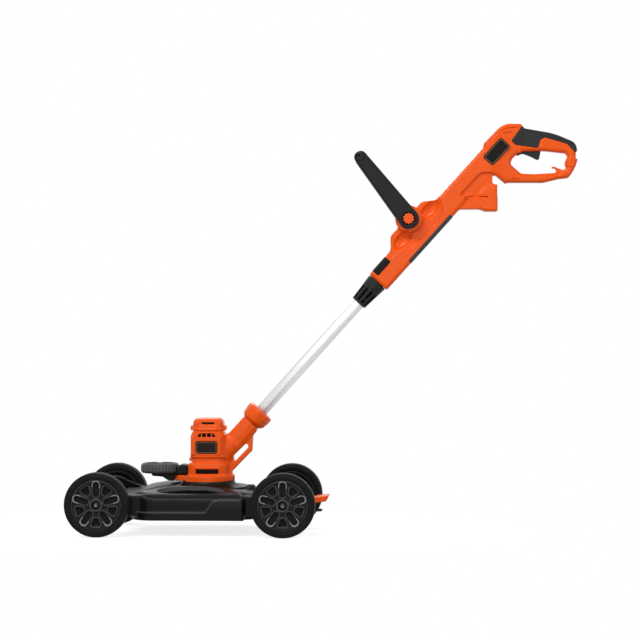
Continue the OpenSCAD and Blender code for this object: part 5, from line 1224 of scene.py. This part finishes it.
handle_line = in_handle([
    (-0.059, 0.299, 0), (-0.047, 0.449, 0.2), (0.163, 1, 4.2), (0.369, 1, 0.5), (0.409, 0.867, 0.6),
    (0.739, 0.717, 15), (0.988, 0.449, 2.2), (1, 0.212, 0.4), (0.985, 0.181, 0.1), (0.985, 0.012, 0.1),
    (1, -0.037, 0.2), (0.966, -0.312, 1.2), (0.906, -0.555, 1.4), (0.788, -0.586, 3), (0.616, -0.691, 4),
    (0.222, -0.686, 0.3), (0.192, -0.711, 0.3), (0.084, -0.48, 0.3), (-0.148, -0.48, 0)])
opening_line = in_handle([
    (0.244, -0.15, 0.9), (0.276, 0.012, 0.6), (0.355, 0.2, 0.6), (0.631, 0.218, 3), (0.867, 0.15, 0.6),
    (0.892, 0.056, 0.3), (0.865, -0.112, 1), (0.874, -0.274, 0.5), (0.773, -0.405, 1.4), (0.517, -0.443, 6),
    (0.369, -0.424, 0.8)])
hook_line = rounded([
    (172, -25.5, 0), (161.5, -22.6, 3), (153.8, -18.9, 4), (147.9, -17.6, 2), (144.3, -19.6, 1),
    (145.4, -22.6, 0.8), (150.1, -21.8, 2), (154.2, -25, 2), (155.6, -29.5, 2), (151, -34, 0),
    (174, -36, 0)], 4)
grip_line = in_handle([
    (0.379, 0.923, 0.1), (0.409, 0.867, 0.6), (0.739, 0.717, 15), (0.988, 0.449, 2.2), (1, 0.212, 0.4),
    (0.985, 0.187, 0.1), (0.968, 0.193, 0.1), (0.887, 0.411, 1), (0.631, 0.605, 0.8), (0.581, 0.524, 0.6),
    (0.559, 0.299, 0.4), (0.305, 0.393, 0.6), (0.261, 0.499, 0.4)])
trigger_line = in_handle([
    (0.323, 0.075, 0.2), (0.365, 0.131, 0.6), (0.394, 0.143, 0.6), (0.478, 0.06, 2), (0.552, -0.037, 0.2),
    (0.574, -0.012, 0.2), (0.588, 0.17, 0.1), (0.581, 0.274, 0.2), (0.345, 0.299, 0.4), (0.32, 0.224, 0.2)])
shroud_line = in_handle([
    (0.107, -0.3, 0), (0.107, -0.491, 0.6), (0.236, -0.491, 0.3), (0.236, -1, 0.3), (-0.09, -1, 0.8),
    (-0.213, -0.962, 0.8), (-0.764, -0.962, 0), (-0.697, -0.8, 0), (-0.281, -0.3, 0)], 89.0, 120.0)
saddle_line = rounded([(pivot_s + saddle_half * x, saddle_rise * t, 10 * r) for x, t, r in (
    (-1, 0.379, 0), (-0.884, 0.463, 1), (-0.611, 1, 1.6), (0.526, 1, 1.6), (0.779, 0.526, 1),
    (0.947, 0.379, 0))])
crown_mark = rounded([(32.6, 57.5, 1.5), (56, 61, 1.5), (46, 48.5, 2)])
crown_groove = [(-9, 27), (24, 61), (36, 67), (52, 69.5), (70, 71)]
cheek_line = rounded([(-22, -125, 0), (-20, -80, 10), (-8, -66, 8), (10, -61, 8), (30, -60, 0),
                      (30, -125, 0)])
saddle_panel = rounded([(640, 13, 6), (668, 10.5, 8), (684, -5.5, 8), (778, -11, 10), (802, -2, 8),
                        (816, 18, 6), (830, 60, 0), (620, 60, 0)])
shroud_panel = rounded([(-67, -85, 3), (-24.6, -39, 8), (-13.5, -32, 6), (9.4, -32, 3), (6, -54, 5),
                        (-15.8, -74, 8), (-50, -86, 4)])


def nearest_line(points, x, z):
    """Distance to an open line through points."""
    nearest = 1e6
    for (ax, az), (bx, bz) in zip(points, points[1:]):
        ex, ez = bx - ax, bz - az
        share = np.clip(((x - ax) * ex + (z - az) * ez) / (ex ** 2 + ez ** 2), 0, 1)
        nearest = np.minimum(nearest, np.hypot(x - ax - share * ex, z - az - share * ez))
    return nearest


def handle_half(hx):
    """Half the handle's thickness: as thick as the beam at the crown and slimmer round the loop."""
    fade = np.clip((hx - 8) / 76, 0, 1)
    return 26.6 - 8.6 * fade * fade * (3 - 2 * fade)


def beam_field(s, t, y):
    """The straight beam round the tube's upper end, from its middle, half sizes and corner radii."""
    return slab(rounded_box(s - 775.5, t + 1.75, 194.5, 26.75, 5), y, 27, 9.0)


def loop_outline(hx, hz):
    """Distance to the D handle's side view, with its opening."""
    return np.maximum(outline_distance(handle_line, hx, hz), -outline_distance(opening_line, hx, hz))


def saddle_and_beam(s, t, y):
    """The beam with the saddle on its back and the round boss of the bail's pivot."""
    from_pivot = np.hypot(s - pivot_s, t - pivot_t)
    saddle = slab(outline_distance(saddle_line, s, t), y, 20.5, 5.0)
    return join(join(beam_field(s, t, y), saddle, 7.0), slab(from_pivot - 31, y, 34.9, 2.5), 3.0)


def upper_field(x, y, z):
    s, t = along_shaft(x, z)
    hx, hz = x - handle_x, z - handle_z
    side = np.abs(y)
    from_pivot = np.hypot(s - pivot_s, t - pivot_t)
    loop_flat = loop_outline(hx, hz)
    loop = slab(loop_flat, y, handle_half(hx), 9.5)
    shroud_flat = outline_distance(shroud_line, hx, hz)
    shroud = slab(shroud_flat, y, 21.7, 3.0)
    whole = join(saddle_and_beam(s, t, y), join(shroud, loop, 2.0), 4.0)
    whole = join(whole, slab(outline_distance(hook_line, hx, hz), y, 6, 1.5), 2.0)
    panel = np.maximum(outline_distance(saddle_panel, s, t), 21.0 - side)
    whole = cut(whole, np.maximum(panel, 33 - from_pivot), 3.4)
    for scoop_s, scoop_t in ((691, 20.5), (784, 20.5)):
        scoop = np.sqrt(((s - scoop_s) / 29) ** 2 + ((t - scoop_t) / 16) ** 2 + ((side - 25) / 14) ** 2) - 1
        whole = cut(whole, scoop * 14, 1.2)
    groove = nearest_line(crown_groove, hx, hz) - 0.9
    whole = cut(whole, np.maximum(groove, handle_half(hx) - 2.4 - side), 0.6)
    whole = cut(whole, np.maximum(outline_distance(shroud_panel, hx, hz), 21.6 - side), 1.6)
    whole = cut(whole, np.maximum(outline_distance(crown_mark, hx, hz), handle_half(hx) - 2.2 - side), 0.6)
    rail = np.maximum(17.2 - side, np.maximum(hz + 14, 52 - hx))
    rail_groove = np.maximum(np.abs(outline_distance(handle_line, hx, hz) + 8.5) - 0.6, rail)
    whole = cut(whole, rail_groove, 0.5)
    band_part = np.maximum(np.abs(hz + 9.0 + 0.1 * (hx - 188)) - 10, 150 - hx)
    whole = join(whole, np.maximum(slab(loop_flat - 0.9, y, 18.9, 8.0), band_part), 0.4)
    pin_boss = slab(np.hypot(hx - 71.0, hz - 16.9) - 4.2, y, 17.8, 2.0)
    whole = join(whole, pin_boss, 2.0)
    skirt = slab(np.maximum(shroud_flat, hz + 86.5), y, 23.0, 2.0)
    cheek = slab(common(shroud_flat + 0.8, outline_distance(cheek_line, hx, hz), 3.0), y, 25.2, 5.0)
    whole = join(join(whole, skirt, 1.0), cheek, 3.0)
    seam = np.maximum(nearest_line([(-49, -87.5), (2, -87.5)], hx, hz) - 1.1, 20.3 - side)
    post = np.maximum(nearest_line([(-52.5, -88), (-52.5, -112)], hx, hz) - 0.8, 21.4 - side)
    whole = cut(whole, np.minimum(seam, post), 0.6)
    screw_ring = slab(np.abs(np.hypot(hx - 6, hz + 86.2) - 5.2) - 0.9, y, 25.9, 0.8)
    whole = join(whole, screw_ring, 0.8)
    badge_seat = rounded_box(s - badge_s, t - badge_t, 31.0, 15.7, 6.4)
    whole = cut(whole, np.maximum(badge_seat, 26.2 - side), 0.5)
    shell = np.maximum(whole, -upper_wall - whole)
    shell = np.maximum(shell, -np.maximum(np.hypot(t, y) - 15.0, s - 720))
    mouth = np.maximum(box_distance(hx, hz, 3, -89.5, 19, 27), side - 19.8)
    trigger_slot = np.maximum(outline_distance(trigger_line, hx, hz) - 1.2, side - 8.5)
    shell = np.maximum(shell, -np.minimum(mouth, trigger_slot))
    shell = np.maximum(shell, 5.1 - from_pivot)
    grip_flat = outline_distance(grip_line, hx, hz)
    return np.maximum(shell, -np.maximum(grip_flat, -(np.maximum(loop, grip_flat) + 1.5)))


for side_name, side in (("left", -1), ("right", 1)):
    half = moulded(f"upper_{side_name}",
                   lambda x, y, z: np.maximum(upper_field(x, y, z), split_gap - side * y),
                   (96, min(0, side * 38), 548), (582, max(0, side * 38), 940), 1.3, orange_shell)
    lighten(half, 0.6)
    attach(half, "upper")
    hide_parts(f"upper_housing_{side_name}")

# Soft grip: a black thermoplastic rubber skin, moulded over a bed in the top of the D handle
# and standing a little proud of the orange shell.
grip_rubber = moulded_plastic(
    "grip_rubber", (0.009, 0.009, 0.0095), (0.007, 0.007, 0.0074), (0.035, 0.035, 0.037),
    gloss=0.38, spread=0.10, grains=1900.0, depth=0.10, reach=0.6, shine=0.17)


def grip_field(x, y, z):
    hx, hz = x - handle_x, z - handle_z
    grip_flat = outline_distance(grip_line, hx, hz)
    loop_flat = loop_outline(hx, hz)
    skin = np.maximum(slab(loop_flat - 0.6, y, handle_half(hx) + 0.8, 10.5), grip_flat - 0.4)
    core = slab(loop_flat + 1.4, y, handle_half(hx) - 1.4, 8.2)
    return common(np.maximum(skin, -core), grip_flat - 0.6, 1.2)


grip = moulded("grip", grip_field, (420, -26, 864), (582, 26, 936), 0.9, grip_rubber)
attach(grip, "upper")
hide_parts("main_grip")

# Trigger: a black nylon lever with a finger hollow that turns on a steel pin;
# a light coil spring of spring wire stands between it and the handle, behind it the switch block.
trigger_pin_x, trigger_pin_z = 444.582, 871.639


def trigger_field(x, y, z):
    hx, hz = x - handle_x, z - handle_z
    lever = slab(outline_distance(trigger_line, hx, hz), y, 8.0, 2.0)
    return np.maximum(lever, 2.1 - np.hypot(x - trigger_pin_x, z - trigger_pin_z))


trigger = moulded("trigger_lever", trigger_field, (434, -10, 848), (498, 10, 882), 0.8, nut_black)
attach(trigger, "trigger")
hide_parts("trigger")
dress(steel, "trigger_pin")
dress(deck_black, "switch_block")
low, high = (np.array(corner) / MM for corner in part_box("trigger_spring"))
coil_x, coil_wire = (low[0] + high[0]) / 2, 0.9
trigger_path = spring_path(4.0, high[2] - low[2], 4, coil_wire) + (coil_x, 0, low[2])
trigger_coil = swept("trigger_coil", trigger_path, coil_wire, steel)
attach(trigger_coil, "upper")
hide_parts("trigger_spring")
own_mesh(trigger_coil)

# Power inlet: a black moulded insert with two brass blades, carried over from the CAD model;
# it is held in the shroud between the halves.
dress(nut_black, "plug_inlet")
dress(brass, "inlet_blades")

# Plain plates of the upper housing: a dark badge on each side of the crown, a label round the clamp
# end and a strip along the beam's lower edge, all glued on and left bare.
badge_black = moulded_plastic(
    "badge_black", (0.010, 0.009, 0.0085), (0.007, 0.0065, 0.006), (0.16, 0.12, 0.09),
    gloss=0.28, spread=0.10, grains=900.0, depth=0.08, reach=0.5)
strip_grey = moulded_plastic(
    "strip_grey", (0.075, 0.068, 0.075), (0.062, 0.056, 0.062), (0.12, 0.12, 0.12),
    gloss=0.40, spread=0.10, grains=900.0, depth=0.08, reach=0.4)


def upper_badge_flat(x, z):
    """Outline of the badge plate on the crown."""
    s, t = along_shaft(x, z)
    return rounded_box(s - badge_s, t - badge_t, 30.5, 15.2, 5.9)


upper_badges = moulded("upper_badges",
                       lambda x, y, z: badge_field(upper_badge_flat(x, z), np.abs(y), 26.4, 1.4),
                       (354, -29, 828), (440, 29, 912), 0.7, badge_black, badge_line)
line_rim(upper_badges, upper_badge_flat, 2.2, 3.5)
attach(upper_badges, "upper")


def foil_field(x, y, z, patch_s, patch_t, half_s, half_t, r):
    """A thin foil on the beam's surface, as far as a patch in its side view reaches."""
    s, t = along_shaft(x, z)
    beam = beam_field(s, t, y)
    skin = np.maximum(beam - 0.55, -(beam + 0.8))
    return np.maximum(skin, rounded_box(s - patch_s, t - patch_t, half_s, half_t, r))


label = moulded("clamp_label", lambda x, y, z: foil_field(x, y, z, 614, 17, 22, 10, 4.0),
                (100, -29, 585), (190, 29, 640), 0.7, badge_black)
lighten(label, 0.3)
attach(label, "upper")
strip = moulded("under_strip", lambda x, y, z: foil_field(x, y, z, 735.5, -27, 71.5, 6.6, 1.5),
                (180, -29, 610), (310, 29, 735), 0.8, strip_grey)
lighten(strip, 0.2)
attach(strip, "upper")

# Bail: a black U-shaped nylon handle, moulded in one piece, with a bar across the top;
# the eyes of its two arms turn on the saddle's pivot.
bail_x, bail_z, bail_turn, bail_length = 192.078, 716.693, math.radians(128), 177.5


def along_bail(x, z):
    """Coordinates along the bail's arms and square to them."""
    return ((x - bail_x) * math.cos(bail_turn) + (z - bail_z) * math.sin(bail_turn),
            (z - bail_z) * math.cos(bail_turn) - (x - bail_x) * math.sin(bail_turn))


def bail_field(x, y, z):
    b, n = along_bail(x, z)
    share = np.clip(b / bail_length, 0, 1)
    flat = np.hypot(b - bail_length * share, n) - (23 - 8.2 * share)
    side = np.abs(y)
    arm = slab(flat, side - 42.3 - 7 * share, 6.9, 3.5 + 3.2 * share)
    bar = slab(np.hypot(b - bail_length, n) - 13, y, 56.2, 9.0)
    whole = join(arm, bar, 3.0)
    notch = np.maximum(rounded_box(b - 183.0, n - 4.6, 3.2, 5.2, 2.4), 51.0 - side)
    whole = cut(whole, notch, 1.5)
    pocket = np.maximum(np.hypot(b, n) - 14.6, y + 40.6)
    whole = cut(whole, pocket, 0.8)
    return np.maximum(whole, 5.1 - np.hypot(b, n))


bail_black = moulded_plastic(
    "bail_black", (0.006, 0.006, 0.0062), (0.0045, 0.0045, 0.0047), (0.050, 0.050, 0.051),
    gloss=0.36, spread=0.12, grains=1500.0, depth=0.10, reach=0.9, shine=0.13)
bail = moulded("bail", bail_field, (62, -59, 690), (220, 59, 880), 1.2, bail_black)
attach(bail, "bail")
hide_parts("bail_handle")

# Lock button: an orange moulded button with ten teeth that slides in the bail's left eye;
# a zinc-plated pivot bolt, carried over from the CAD model, holds the right eye.
tooth_count = 10


def button_field(x, y, z):
    b, n = along_bail(x, z)
    r, angle = np.hypot(b, n), np.arctan2(n, b)
    teeth = np.clip(np.cos(angle * tooth_count) * 2.2, -1, 1)
    disc = slab(r - 12.0 - 0.9 * teeth, y + 48.1, 3.1, 1.2)
    return common(disc, (-y - 51.4) + 0.004 * r * r, 0.8)


button = moulded("button", button_field, (176, -53, 700), (208, -42, 733), 0.6, orange_shell)
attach(button, "button")
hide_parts("lock_button")
dress(zinc, "pivot_bolt", "head_screws")
